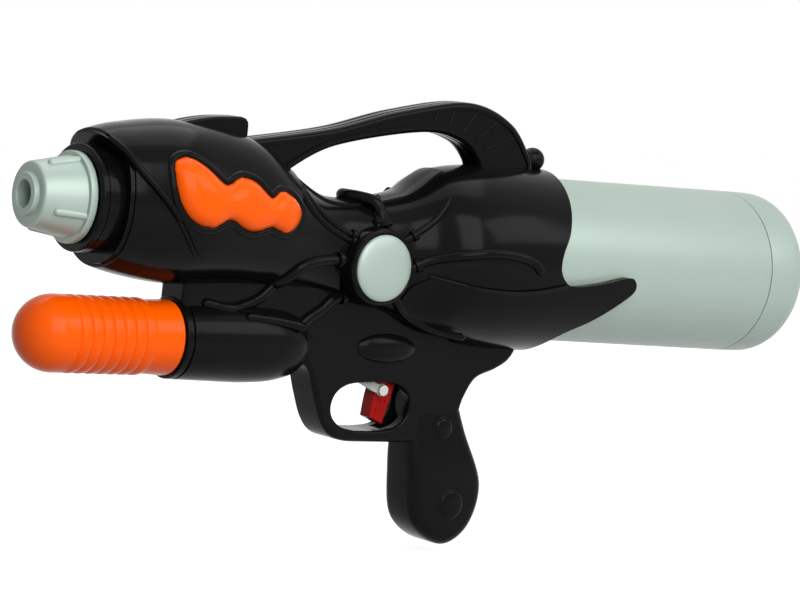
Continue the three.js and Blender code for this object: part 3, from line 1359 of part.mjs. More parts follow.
// Studs on the grip, standing a little proud
const stud = (radius, x, z, side) => {
  const geometry = new THREE.SphereGeometry(radius, FACETS_SMALL, FACETS_FINE);
  geometry.scale(1, STUD_RISE / radius, 1);
  geometry.translate(x, side * GRIP_HALF, z);
  return solid(geometry);
};
for (const side of [-1, 1]) {
  outer = joined(
    outer,
    stud(GRIP_STUD_R, GRIP_STUD_X, GRIP_STUD_Z, side),
    stud(GRIP_KNOB_R, GRIP_KNOB_X, GRIP_KNOB_Z, side),
  );
}
outer = outer.add(panelOutline(PANEL_LIP + FIT_GAP).intersect(body(PANEL_LIP_RISE)));

// Screw places, each with the half width of the housing there
const screwPlaces = [
  ["nose", SCREW_NOSE_X, SCREW_NOSE_Z, surfaceY(SCREW_NOSE_X, SCREW_NOSE_Z, 0)],
  ["chin", SCREW_CHIN_X, SCREW_CHIN_Z, surfaceY(SCREW_CHIN_X, SCREW_CHIN_Z, 0)],
  ["brow", SCREW_BROW_X, SCREW_BROW_Z, HANDLE_HALF],
  ["handle", SCREW_HANDLE_X, SCREW_HANDLE_Z, HANDLE_HALF],
  ["frame", SCREW_FRAME_X, SCREW_FRAME_Z, FRAME_HALF],
  ["tang", SCREW_TANG_X, SCREW_TANG_Z, FRAME_HALF],
  ["grip", SCREW_GRIP_X, SCREW_GRIP_Z, GRIP_HALF],
  ["butt", SCREW_BUTT_X, SCREW_BUTT_Z, GRIP_HALF],
];

const hollow = joined(
  bodyInner,
  slab(handleShape, HANDLE_HALF - WALL, 1, WALL, 2, 1),
  slab(frameShape, FRAME_HALF - WALL, 1, WALL, 2, 1),
  slab(gripShape, GRIP_HALF - WALL, 2, WALL, 2, 1),
  sleeveHollow,
);
let inside = outer.subtract(hollow);
const sunk = WALL / 2;
const posts = joined(...screwPlaces.map(([, x, z, half]) => rodY(SCREW_POST_R, x, z, sunk - half, half - sunk, FACETS_FINE + 2)));
const pinBosses = rodY(2 * TRIGGER_PIN_R, TRIGGER_PIVOT_X, TRIGGER_PIVOT_Z, sunk - FRAME_HALF, FRAME_HALF - sunk);
const bodyRibs = joined(
  rodX(CUP_R, ribFront, ribBack, TANK_AXIS_Z),
  rodX(CROWN_HALF + WALL, BARREL_BACK_X - 8, BARREL_BACK_X - 8 + RIB, 0),
).intersect(body(-sunk, BORE_STEPS, BORE_SIDES));
const sleeveRib = rodX(SLEEVE_FRONT_R - sunk, SLEEVE_RIB_X, SLEEVE_RIB_X + RIB, PUMP_AXIS_Z);
const valveRibAt = along(VALVE_START + VALVE_LENGTH / 2);
const valveRib = box(valveRibAt.x - RIB / 2, valveRibAt.x + RIB / 2, sunk - FRAME_HALF, FRAME_HALF - sunk,
  valveRibAt.z - 2 * VALVE_R, valveRibAt.z + VALVE_R / 2);
const fitted = joined(posts, pinBosses, bodyRibs, sleeveRib, valveRib);
let shell = inside.add(fitted);
shell = cut(
  shell,
  tankOuter(TANK_RUN_GAP),
  rodX(socketR + FIT_GAP, ribFront - 1, ribBack + 1, TANK_AXIS_Z, FACETS_LARGE),
  rodX(BARREL_R + FIT_GAP, COLLAR_FRONT_X - 1, BARREL_BACK_X, 0, FACETS_MID),
  rodX(BARREL_COLLAR_R + FIT_GAP, collarBack, collarBack + BARREL_COLLAR_T + 2 * FIT_GAP, 0, FACETS_MID),
  rodX(CYLINDER_R + FIT_GAP, SLEEVE_FRONT_X - 1, checkBack + FIT_GAP, PUMP_AXIS_Z, FACETS_MID),
  prism(holeShape, -SIDE_REACH, SIDE_REACH, 4),
  box(HOLE_FRONT_X + HOLE_CURVE, HOLE_BACK_X - 1, linkFar - 1, -linkFar + 1, HOLE_TOP_Z - 1, HOLE_TOP_Z + 2 * WALL),
  rodY(TRIGGER_HUB_R + 1, TRIGGER_PIVOT_X, TRIGGER_PIVOT_Z, -TRIGGER_HALF - 1, TRIGGER_HALF + 1, 20),
  rodY(TRIGGER_PIN_R + FIT_GAP, TRIGGER_PIVOT_X, TRIGGER_PIVOT_Z, -pinEnd, pinEnd),
  rod(VALVE_R + FIT_GAP, along(VALVE_START - 2), along(valveEnd + 2), 20),
  rodY(MEDALLION_R + FIT_GAP, HUB_X, HUB_Z, -SIDE_REACH, -medallionFloor, FACETS_MID),
  rodY(MEDALLION_R + FIT_GAP, HUB_X, HUB_Z, medallionFloor, SIDE_REACH, FACETS_MID),
  panelOutline(FIT_GAP).subtract(bodySeat),
);

// Back edge of the cup: everything behind the curved edge and outside the fins goes
const edgeShape = new THREE.Shape();
edgeShape.moveTo(EDGE_TOP_X, CUP_TOP + 30);
edgeShape.lineTo(EDGE_TOP_X, CUP_TOP);
edgeShape.splineThru([
  at(EDGE_UPPER_X, EDGE_UPPER_Z),
  at(EDGE_WAIST_X, EDGE_WAIST_Z),
  at(FIN_ROOT_X, FIN_ROOT_Z),
]);
edgeShape.lineTo(FIN_TIP_X - 3, FIN_TIP_Z);
edgeShape.quadraticCurveTo(FIN_TIP_X + 3, FIN_TIP_Z - FIN_TIP_DEPTH / 2, FIN_TIP_X - 1, FIN_TIP_Z - FIN_TIP_DEPTH);
edgeShape.lineTo(FIN_LOW_X, FIN_LOW_Z);
edgeShape.quadraticCurveTo(EDGE_LOW_X + 6, EDGE_LOW_Z + 3, EDGE_LOW_X, EDGE_LOW_Z);
edgeShape.lineTo(EDGE_LOW_X, CUP_BOTTOM - 20);
edgeShape.lineTo(CUP_END_X + 20, CUP_BOTTOM - 20);
edgeShape.lineTo(CUP_END_X + 20, CUP_TOP + 30);
edgeShape.closePath();
const behindEdge = prism(edgeShape, -SIDE_REACH, SIDE_REACH, 4);
const ballKeep = new THREE.SphereGeometry(HANDLE_BALL_R, FACETS_SMALL, FACETS_FINE);
ballKeep.translate(HANDLE_BALL_X, 0, HANDLE_BALL_Z);
shell = shell.subtract(behindEdge.subtract(solid(ballKeep)));

// Hose lanes and screw bores
const lane = (points) => tube(points, HOSE_R + RUN_GAP, 0);
shell = cut(shell, lane(outletPath), lane(waterPath), lane(airPath));
const screwTip = SCREW_SEAT_Y + FIT_GAP - SCREW_LENGTH;
const screws = {};
for (const [name, x, z] of screwPlaces) {
  const head = SCREW_SEAT_Y + FIT_GAP;
  screws[`screw_${name}`] = joined(
    rodY(SCREW_R, x, z, screwTip, head + SCREW_HEAD_T / 2, FACETS_FINE),
    rodY(SCREW_HEAD_R, x, z, head, head + SCREW_HEAD_T, FACETS_SMALL),
  ).subtract(box(x - SCREW_HEAD_R * 0.7, x + SCREW_HEAD_R * 0.7, head + SCREW_HEAD_T * 0.6, head + SCREW_HEAD_T + 1,
    z - SCREW_R / 3, z + SCREW_R / 3));
  shell = cut(
    shell,
    rodY(SCREW_R + FIT_GAP, x, z, screwTip - FIT_GAP, SCREW_SEAT_Y + 1, FACETS_FINE),
    rodY(SCREW_HEAD_R + FIT_GAP, x, z, SCREW_SEAT_Y, SIDE_REACH, FACETS_FINE + 2),
  );
}

const housingLeft = shell.intersect(leftSide);
const housingRight = shell.intersect(rightSide);

// Named pieces in their colours
const group = new THREE.Group();
group.name = "water_squirter";
function addPiece(name, piece, colour, roughness = 0.4) {
  const geometry = geometryOf(piece);
  geometry.translate(-GRIP_ORIGIN_X, 0, -GRIP_ORIGIN_Z);
  geometry.computeVertexNormals();
  const mesh = new THREE.Mesh(geometry, new THREE.MeshStandardMaterial({ color: colour, roughness }));
  mesh.name = name;
  group.add(mesh);
}

addPiece("housing_left", housingLeft, BLACK, 0.25);
addPiece("housing_right", housingRight, BLACK, 0.25);
addPiece("nozzle_cap", nozzleCap, SILVER);
addPiece("nozzle_ring", nozzleRing, RUBBER);
addPiece("barrel_tube", barrelTube, CLEAR);
addPiece("side_panel_left", sidePanelLeft, ORANGE, 0.2);
addPiece("side_panel_right", sidePanelRight, ORANGE, 0.2);
addPiece("medallion_left", medallion(-1), SILVER);
addPiece("medallion_right", medallion(1), SILVER);
addPiece("pump_grip", pumpGrip, ORANGE, 0.3);
addPiece("pump_rod", pumpRod, WHITE);
addPiece("piston", piston, WHITE);
addPiece("piston_ring", pistonRing, RUBBER);
addPiece("pump_cylinder", pumpCylinder, CLEAR);
addPiece("cylinder_gland", cylinderGland, WHITE);
addPiece("check_valve", checkValve, WHITE);
addPiece("tank", tank, SILVER);
addPiece("tank_end", tankEnd, SILVER);
addPiece("tank_gasket", tankGasket, RUBBER);
addPiece("tank_socket", tankSocket, WHITE);
addPiece("dip_tube", dipTube, CLEAR);
addPiece("outlet_hose", outletHose, CLEAR);
addPiece("water_hose", waterHose, CLEAR);
addPiece("air_hose", airHose, CLEAR);
addPiece("trigger", trigger, RED, 0.35);
addPiece("trigger_pin", triggerPin, STEEL);
addPiece("link_pin", linkPin, WHITE);
addPiece("valve_link", valveLink, WHITE);
addPiece("valve_stem", valveStem, STEEL);
addPiece("valve_seal", valveSeal, RUBBER);
addPiece("valve_spring", valveSpring, STEEL);
addPiece("valve_body", valveBody, WHITE);
addPiece("valve_cap", valveCap, WHITE);
for (const [name, piece] of Object.entries(screws)) {
  addPiece(name, piece, STEEL);
}

export default group;
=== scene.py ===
"""Dresses the solid model of a hand-pumped toy water squirter: moulded shells, pump, tank and trim."""

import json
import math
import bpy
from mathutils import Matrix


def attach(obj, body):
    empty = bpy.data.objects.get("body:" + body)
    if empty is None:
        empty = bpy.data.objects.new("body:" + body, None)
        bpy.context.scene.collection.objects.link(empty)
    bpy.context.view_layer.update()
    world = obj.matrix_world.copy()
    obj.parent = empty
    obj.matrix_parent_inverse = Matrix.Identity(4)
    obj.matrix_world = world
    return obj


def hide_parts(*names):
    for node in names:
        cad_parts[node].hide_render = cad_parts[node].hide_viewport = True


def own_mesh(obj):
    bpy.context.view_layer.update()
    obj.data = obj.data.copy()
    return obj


bl_info = {
    "name": "Water Squirter",
    "version": (1, 0, 0),
    "blender": (4, 5, 0),
    "location": "View3D > Sidebar > Squirter",
    "description": "Models the moulded shells, pump grip, tank and trim of a toy water squirter",
    "category": "Object",
}

import bmesh
import bpy
from mathutils import Matrix, Vector

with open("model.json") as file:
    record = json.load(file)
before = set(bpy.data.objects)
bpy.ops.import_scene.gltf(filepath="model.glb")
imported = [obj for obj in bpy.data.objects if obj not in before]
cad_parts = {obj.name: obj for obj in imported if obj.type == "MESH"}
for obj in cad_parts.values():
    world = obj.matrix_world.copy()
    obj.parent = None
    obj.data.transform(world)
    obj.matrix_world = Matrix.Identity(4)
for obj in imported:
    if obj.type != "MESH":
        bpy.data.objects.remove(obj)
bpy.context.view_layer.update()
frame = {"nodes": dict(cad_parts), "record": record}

# Main lines of the squirter in millimetres
MM = 0.001
GRIP_X = 227.0
GRIP_Z = -126.0
TANK_Z = -14.5
PUMP_Z = -62.5
SIDES = (-1, 1)
BEYOND = 60

# Nose and the joint line of the shells
NOSE_R = 25
NOSE_STEP_X = 12
NOSE_LIP_X = 13.8
NOSE_LIP_DEPTH = 1.1
HOOD_BORE_R = 24
BARREL_ROOM_R = 9.3
SEAM_HALF = 0.16
SEAM_DEPTH = 0.7
SEAM_REACH = 109

# Half widths of the flat parts
FRAME_HALF = 10.5
GRIP_HALF = 13
HANDLE_HALF = 8
SIGHT_HALF = 6.5
TRIGGER_HALF = 4

# Hub, pivots and the slope of the pull link in side view
HUB_X = 162
HUB_Z = -22
PIVOT_X = 194
PIVOT_Z = -66
LINK_X = 185
LINK_Z = -84
LINK_SLOPE = math.radians(21)

# Round tank and its glued end
TANK_GAP = 0.7
TANK_NECK_X = 208
TANK_NECK_R = 19
TANK_FRONT_X = 222
TANK_FRONT_R = 41.3
TANK_BEND = 18
TANK_R = 43
TANK_BORE_R = 16.8
TANK_BACK_X = 441
TANK_BACK_BEND = 15

# Pump grip, its bore and its grooves
PUMP_R = 18.1
PUMP_BORE_R = 12.4
PUMP_TIP_X = -22.5
PUMP_BACK_X = 57.6
GROOVE_COUNT = 7
GROOVE_PITCH = 5.87
GROOVE_FRONT_X = 1.4
GROOVE_R = 18.25

# Screws in side view, with their heads in bores of the right shell
SCREWS = {
    "screw_nose": (28, 23),
    "screw_chin": (84, -23),
    "screw_brow": (106, 28),
    "screw_handle": (244, 46),
    "screw_frame": (174, -64),
    "screw_tang": (236, -66),
    "screw_grip": (219, -118),
    "screw_butt": (224, -150),
}
SCREW_ROOM_R = 3.1
SCREW_SEAT_Y = 3.5


# Places are measured from the back of the nozzle flange on the barrel line
def place(x, y, z):
    return Vector(((x - GRIP_X) * MM, y * MM, (z - GRIP_Z) * MM))


def seat(origin, axis=(1, 0, 0)):
    turn = Vector((1, 0, 0)).rotation_difference(Vector(axis)).to_matrix().to_4x4()
    return Matrix.Translation(place(*origin)) @ turn @ Matrix.Scale(MM, 4)


# Sizes and colours that a user would change
class SquirterSizes(bpy.types.PropertyGroup):
    """Sizes of the moulded pieces"""

    shell_edge: bpy.props.FloatProperty(
        name="Shell edge", description="Rounding of the frame's edges", default=0.0026, unit="LENGTH"
    )
    grip_edge: bpy.props.FloatProperty(
        name="Grip edge", description="Rounding of the pistol grip", default=0.0058, unit="LENGTH"
    )
    handle_edge: bpy.props.FloatProperty(
        name="Handle edge", description="Rounding of the carry handle", default=0.0026, unit="LENGTH"
    )
    pipe_scale: bpy.props.FloatProperty(
        name="Pipe scale", description="Thickness of the raised pipes round the hub", default=1.25
    )
    groove_depth: bpy.props.FloatProperty(
        name="Groove depth", description="Depth of the pump grip's grooves", default=0.0010, unit="LENGTH"
    )
    lobe_rise: bpy.props.FloatProperty(
        name="Lobe rise", description="How far the side panels stand out", default=0.0048, unit="LENGTH"
    )


class SquirterColours(bpy.types.PropertyGroup):
    """Colours of the plastics"""

    shell: bpy.props.FloatVectorProperty(
        name="Shell", description="Black shell plastic", subtype="COLOR", default=(0.0034, 0.0038, 0.0034)
    )
    silver: bpy.props.FloatVectorProperty(
        name="Silver", description="Satin silver plastic", subtype="COLOR", default=(0.385, 0.475, 0.42)
    )
    orange: bpy.props.FloatVectorProperty(
        name="Orange", description="Pump and panel plastic", subtype="COLOR", default=(1.0, 0.11, 0.0004)
    )
    red: bpy.props.FloatVectorProperty(
        name="Red", description="Trigger plastic", subtype="COLOR", default=(0.30, 0.004, 0.003)
    )


# Sockets and scales of the surface that all finishes share
SURFACE_INPUTS = {
    "Colour": "Color",
    "Roughness": "Float",
    "Spread": "Float",
    "Grain": "Float",
    "Ripple": "Float",
}
SURFACE_OUTPUTS = {"Colour": "Color", "Roughness": "Float", "Normal": "Vector"}
FLOW_SCALE = 38.0
GRAIN_SCALE = 2600.0
RIPPLE_HEIGHT = 0.0006
GRAIN_HEIGHT = 0.00005
FLOW_SHADE = {"From Min": 0.3, "From Max": 0.7, "To Min": 0.985, "To Max": 1.015}


# A new node whose inputs are given numbers, colours or other nodes' outputs
def added(tree, kind, inputs=None, operation=None):
    node = tree.nodes.new("ShaderNode" + kind)
    if operation:
        node.operation = operation
    for socket, value in (inputs or {}).items():
        if isinstance(value, bpy.types.NodeSocket):
            tree.links.new(value, node.inputs[socket])
        else:
            node.inputs[socket].default_value = value
    return node


def moulding_group():
    tree = bpy.data.node_groups.get("MouldedSurface")
    if tree:
        return tree
    tree = bpy.data.node_groups.new("MouldedSurface", "ShaderNodeTree")
    for way, sockets in (("INPUT", SURFACE_INPUTS), ("OUTPUT", SURFACE_OUTPUTS)):
        for name, kind in sockets.items():
            tree.interface.new_socket(name, in_out=way, socket_type="NodeSocket" + kind)
    given = tree.nodes.new("NodeGroupInput").outputs
    where = added(tree, "TexCoord").outputs["Object"]
    flow = added(tree, "TexNoise", {"Vector": where, "Scale": FLOW_SCALE, "Detail": 3.0}).outputs["Fac"]
    grain = added(tree, "TexNoise", {"Vector": where, "Scale": GRAIN_SCALE, "Detail": 1.0}).outputs["Fac"]
    shade = added(tree, "MapRange", {"Value": flow, **FLOW_SHADE}).outputs["Result"]
    tint = added(tree, "VectorMath", {0: given["Colour"], "Scale": shade}, "SCALE")
    offset = added(tree, "Math", {0: flow, 1: 0.5}, "SUBTRACT").outputs["Value"]
    scaled = added(tree, "Math", {0: offset, 1: given["Spread"]}, "MULTIPLY").outputs["Value"]
    rough = added(tree, "Math", {0: given["Roughness"], 1: scaled}, "ADD")
    rough.use_clamp = True
    bumps = {"Height": flow, "Strength": given["Ripple"], "Distance": RIPPLE_HEIGHT}
    ripple = added(tree, "Bump", bumps).outputs["Normal"]
    bumps = {"Height": grain, "Strength": given["Grain"], "Distance": GRAIN_HEIGHT, "Normal": ripple}
    fine = added(tree, "Bump", bumps)
    result = tree.nodes.new("NodeGroupOutput").inputs
    tree.links.new(tint.outputs["Vector"], result["Colour"])
    tree.links.new(rough.outputs["Value"], result["Roughness"])
    tree.links.new(fine.outputs["Normal"], result["Normal"])
    return tree


def surface(name, colour, roughness, spread, grain, ripple, metallic=0.0, specular=0.5):
    found = bpy.data.materials.get(name)
    if found:
        return found
    mat = bpy.data.materials.new(name)
    mat.use_nodes = True
    tree = mat.node_tree
    shader = tree.nodes["Principled BSDF"]
    full = (*colour, 1.0)
    values = {"Colour": full, "Roughness": roughness, "Spread": spread, "Grain": grain, "Ripple": ripple}
    group = tree.nodes.new("ShaderNodeGroup")
    group.node_tree = moulding_group()
    for socket, value in values.items():
        group.inputs[socket].default_value = value
    for source, target in (("Colour", "Base Color"), ("Roughness", "Roughness"), ("Normal", "Normal")):
        tree.links.new(group.outputs[source], shader.inputs[target])
    shader.inputs["Metallic"].default_value = metallic
    shader.inputs["Specular IOR Level"].default_value = specular
    mat.diffuse_color = full
    return mat


def shell_black():
    colour = bpy.context.scene.squirter_colours.shell
    gloss = {"roughness": 0.16, "specular": 0.07}
    return surface("MouldedBlack", colour, spread=0.06, grain=0.06, ripple=0.02, **gloss)


def satin_silver():
    colour = bpy.context.scene.squirter_colours.silver
    gloss = {"roughness": 0.38, "metallic": 0.2, "specular": 0.3}
    return surface("SatinSilver", colour, spread=0.04, grain=0.45, ripple=0.0, **gloss)


def gloss_orange():
    colour = bpy.context.scene.squirter_colours.orange
    return surface("GlossOrange", colour, roughness=0.15, spread=0.06, grain=0.1, ripple=0.03, specular=0.1)


def trigger_red():
    colour = bpy.context.scene.squirter_colours.red
    return surface("TriggerRed", colour, roughness=0.22, spread=0.08, grain=0.2, ripple=0.05, specular=0.08)


def natural_white():
    return surface("NaturalWhite", (0.72, 0.72, 0.68), roughness=0.38, spread=0.1, grain=0.3, ripple=0.05)


def link_grey():
    return surface("LinkGrey", (0.36, 0.38, 0.35), roughness=0.36, spread=0.1, grain=0.3, ripple=0.05)


def milky_tube():
    return surface("MilkyTube", (0.62, 0.66, 0.66), roughness=0.25, spread=0.1, grain=0.1, ripple=0.05)


def seal_rubber():
    return surface("SealRubber", (0.02, 0.02, 0.021), roughness=0.6, spread=0.15, grain=0.6, ripple=0.05)


def plated_steel():
    colour = (0.55, 0.55, 0.54)
    return surface("PlatedSteel", colour, roughness=0.32, spread=0.15, grain=0.4, ripple=0.03, metallic=1.0)


# The finish of each material slot in the record
FINISHES = {
    "black_plastic": shell_black,
    "silver_plastic": satin_silver,
    "orange_plastic": gloss_orange,
    "red_plastic": trigger_red,
    "white_plastic": natural_white,
    "grey_plastic": link_grey,
    "clear_tube": milky_tube,
    "rubber": seal_rubber,
    "steel": plated_steel,
}


# Neighbours all round an outline, and the angles of a quarter turn
def round_pairs(points):
    return zip(points, points[1:] + points[:1])


def quarter(steps):
    return [math.pi / 2 * i / steps for i in range(steps + 1)]


# Curves and outlines in side view
def smooth_line(points, per=10):
    result = []
    last = len(points) - 1
    for i in range(last):
        p0 = Vector(points[max(i - 1, 0)])
        p1 = Vector(points[i])
        p2 = Vector(points[i + 1])
        p3 = Vector(points[min(i + 2, last)])
        a = (p2 - p0) * 0.5
        b = (p3 - p1) * 0.5
        for k in range(per):
            t = k / per
            q = p1 + a * t + (3 * (p2 - p1) - 2 * a - b) * t**2 + (2 * (p1 - p2) + a + b) * t**3
            result.append(tuple(q))
    result.append(tuple(points[-1]))
    return result


def outline(*runs):
    points = []
    for kind, run in runs:
        if kind == "curve":
            start = [points[-1]] if points else []
            run = smooth_line(start + run)
        for p in run:
            if not points or (Vector(p) - Vector(points[-1])).length > 0.05:
                points.append(tuple(p))
    if (Vector(points[0]) - Vector(points[-1])).length < 0.05:
        points.pop()
    return points


def crossing(a, b):
    cross = a[1].cross(b[1])
    if abs(cross) < 1e-6:
        return b[0].copy()
    return a[0] + a[1] * ((b[0] - a[0]).cross(b[1]) / cross)


# The outline moved inwards, without the sides that vanish on the way
def drawn_in(points, distance):
    turn = sum(a[0] * b[1] - b[0] * a[1] for a, b in round_pairs(points))
    way = 1 if turn > 0 else -1
    lines = []
    for a, b in round_pairs(points):
        run = (Vector(b) - Vector(a)).normalized()
        lines.append((Vector(a) + Vector((-run.y, run.x)) * distance * way, run))
    live = list(range(len(lines)))
    while len(live) > 3:
        corners = [crossing(lines[live[k - 1]], lines[live[k]]) for k in range(len(live))]
        runs = [(corners[(k + 1) % len(live)] - corners[k]).dot(lines[e][1]) for k, e in enumerate(live)]
        worst = min(range(len(live)), key=lambda k: runs[k])
        if runs[worst] > 1e-4:
            return [tuple(c) for c in corners]
        live.pop(worst)
    return points


# Mesh building
def new_verts(made):
    return [g for g in made["geom"] if isinstance(g, bmesh.types.BMVert)]


def closed_up(bm):
    bmesh.ops.holes_fill(bm, edges=[e for e in bm.edges if e.is_boundary], sides=0)
    bmesh.ops.recalc_face_normals(bm, faces=bm.faces)


def bevel(bm, edges, width, segments):
    bmesh.ops.bevel(
        bm,
        geom=edges,
        offset=width * MM,
        offset_type="OFFSET",
        segments=segments,
        profile=0.5,
        affect="EDGES",
        clamp_overlap=False,
        material=-1,
    )


def plate(points, low, high, edge=0.0, segments=4):
    bm = bmesh.new()
    face = bm.faces.new([bm.verts.new(place(x, low, z)) for x, z in points])
    verts = new_verts(bmesh.ops.extrude_face_region(bm, geom=[face]))
    bmesh.ops.translate(bm, verts=verts, vec=(0, (high - low) * MM, 0))
    bmesh.ops.recalc_face_normals(bm, faces=bm.faces)
    if edge:
        rims = [e for e in bm.edges if abs(e.verts[0].co.y - e.verts[1].co.y) < 1e-7]
        bevel(bm, rims, edge, segments)
    return bm


# Corners given a third number are rounded by that much
def eased(profile, steps=5):
    result = []
    for i, p in enumerate(profile):
        here = Vector(p[:2])
        if len(p) < 3 or i in (0, len(profile) - 1):
            result.append(tuple(here))
            continue
        before = Vector(profile[i - 1][:2]) - here
        after = Vector(profile[i + 1][:2]) - here
        reach = min(p[2], before.length * 0.48, after.length * 0.48)
        a = here + before.normalized() * reach
        b = here + after.normalized() * reach
        for k in range(steps + 1):
            t = k / steps
            result.append(tuple(a * (1 - t) ** 2 + here * (2 * t * (1 - t)) + b * t**2))
    return result


def full_turn(bm, geom, sides):
    bmesh.ops.spin(
        bm,
        geom=geom,
        cent=(0, 0, 0),
        axis=(1, 0, 0),
        dvec=(0, 0, 0),
        angle=math.tau,
        steps=sides,
        use_merge=True,
    )


def spun(profile, where, sides=96):
    bm = bmesh.new()
    chain = [bm.verts.new((x, 0, r)) for x, r in eased(profile)]
    for pair in zip(chain, chain[1:]):
        bm.edges.new(pair)
    full_turn(bm, bm.verts[:] + bm.edges[:], sides)
    bmesh.ops.remove_doubles(bm, verts=bm.verts, dist=1e-4)
    bmesh.ops.recalc_face_normals(bm, faces=bm.faces)
    bmesh.ops.transform(bm, matrix=where, verts=bm.verts)
    return bm


def block(x0, x1, y0, y1, z0, z1):
    bm = bmesh.new()
    middle = place((x0 + x1) / 2, (y0 + y1) / 2, (z0 + z1) / 2)
    size = Matrix.Diagonal(((x1 - x0) * MM, (y1 - y0) * MM, (z1 - z0) * MM, 1))
    bmesh.ops.create_cube(bm, size=1, matrix=Matrix.Translation(middle) @ size)
    return bm


def rod(radius, start, end, sides=24):
    a = place(*start)
    b = place(*end)
    turn = Vector((0, 0, 1)).rotation_difference(b - a).to_matrix().to_4x4()
    bm = bmesh.new()
    bmesh.ops.create_cone(
        bm,
        cap_ends=True,
        segments=sides,
        radius1=radius * MM,
        radius2=radius * MM,
        depth=(b - a).length,
        matrix=Matrix.Translation((a + b) / 2) @ turn,
    )
    return bm


# A rod square to the joint plane
def cross_rod(radius, x, z, half=9, sides=32):
    return rod(radius, (x, -half, z), (x, half, z), sides)


def ball(centre, radii, u=40, v=24):
    bm = bmesh.new()
    size = Matrix.Diagonal((radii[0] * MM, radii[1] * MM, radii[2] * MM, 1))
    where = Matrix.Translation(place(*centre)) @ size
    bmesh.ops.create_uvsphere(bm, u_segments=u, v_segments=v, radius=1, matrix=where)
    return bm


def tube(points, radius, closed=False):
    curve = bpy.data.curves.new("tube", "CURVE")
    curve.dimensions = "3D"
    spline = curve.splines.new("POLY")
    spline.points.add(len(points) - 1)
    for target, p in zip(spline.points, points):
        target.co = (*p, 1)
    spline.use_cyclic_u = closed
    curve.bevel_depth = radius * MM
    curve.bevel_resolution = 5
    curve.use_fill_caps = not closed
    obj = bpy.data.objects.new("tube", curve)
    bpy.context.scene.collection.objects.link(obj)
    bm = taken_mesh(obj)
    bpy.data.objects.remove(obj)
    bpy.data.curves.remove(curve)
    bmesh.ops.recalc_face_normals(bm, faces=bm.faces)
    return bm


# The mesh that an object has after its curve bevel or its modifiers
def taken_mesh(obj):
    bpy.context.view_layer.update()
    graph = bpy.context.evaluated_depsgraph_get()
    mesh = bpy.data.meshes.new_from_object(obj.evaluated_get(graph))
    bm = bmesh.new()
    bm.from_mesh(mesh)
    bpy.data.meshes.remove(mesh)
    return bm


def together(*parts):
    bm = bmesh.new()
    for part in parts:
        mesh = bpy.data.meshes.new("part")
        part.to_mesh(mesh)
        part.free()
        bm.from_mesh(mesh)
        bpy.data.meshes.remove(mesh)
    return bm


def linked_object(name, bm):
    mesh = bpy.data.meshes.new(name)
    bm.to_mesh(mesh)
    bm.free()
    obj = bpy.data.objects.new(name, mesh)
    bpy.context.scene.collection.objects.link(obj)
    return obj


def carved(first, second, how="DIFFERENCE", itself=False):
    objs = [linked_object("carve", bm) for bm in (first, second)]
    mod = objs[0].modifiers.new("carve", "BOOLEAN")
    mod.operation = how
    mod.solver = "EXACT"
    mod.use_self = itself or how == "UNION"
    mod.object = objs[1]
    result = taken_mesh(objs[0])
    for obj in objs:
        data = obj.data
        bpy.data.objects.remove(obj)
        bpy.data.meshes.remove(data)
    bmesh.ops.remove_doubles(result, verts=result.verts, dist=2e-6)
    return result


def finished(name, bm, slot="black_plastic", body="housing", nodes=(), angle=32, weighted=False):
    obj = linked_object(name, bm)
    mesh = obj.data
    mesh.materials.append(FINISHES[slot]())
    mesh.polygons.foreach_set("use_smooth", [True] * len(mesh.polygons))
    mesh.set_sharp_from_angle(angle=math.radians(angle))
    if weighted:
        mod = obj.modifiers.new("flat sides", "WEIGHTED_NORMAL")
        mod.keep_sharp = True
        mod.weight = 80
    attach(obj, body)
    if nodes:
        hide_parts(*nodes)
    return obj


# Main body: place, top, bottom, half width and squareness of its rounded sections
CUP_R = 46.0
SHOULDER_DROP = 4.5
STATIONS = [
    (3, 29, -27, 27.5, 2.2),
    (20, 34, -33, 32, 2.2),
    (50, 37.5, -37, 35, 2.2),
    (92, 32, -36, 29, 2.2),
    (138, 9, -38, 20, 2.2),
    (183, 13.2, -48.5, 25.3, 2.2),
    (208, TANK_Z + CUP_R - SHOULDER_DROP, TANK_Z - CUP_R + SHOULDER_DROP, CUP_R - SHOULDER_DROP, 2.0),
    (245, TANK_Z + CUP_R, TANK_Z - CUP_R, CUP_R, 2.0),
    (314, TANK_Z + CUP_R, TANK_Z - CUP_R, CUP_R, 2.0),
]
BODY_TENSION = 0.45
BODY_STEPS = 120
BODY_SIDES = 112


def station(t):
    span = t * (len(STATIONS) - 1)
    i = min(int(span), len(STATIONS) - 2)
    f = span - i
    p1 = STATIONS[i]
    p2 = STATIONS[i + 1]
    p0 = STATIONS[i - 1] if i else [2 * a - b for a, b in zip(p1, p2)]
    p3 = STATIONS[i + 2] if i + 2 < len(STATIONS) else [2 * b - a for a, b in zip(p1, p2)]
    values = []
    for a, b, c, d in zip(p0, p1, p2, p3):
        m = BODY_TENSION * (c - a)
        n = BODY_TENSION * (d - b)
        values.append(b + m * f + (3 * (c - b) - 2 * m - n) * f**2 + (2 * (b - c) + m + n) * f**3)
    return values


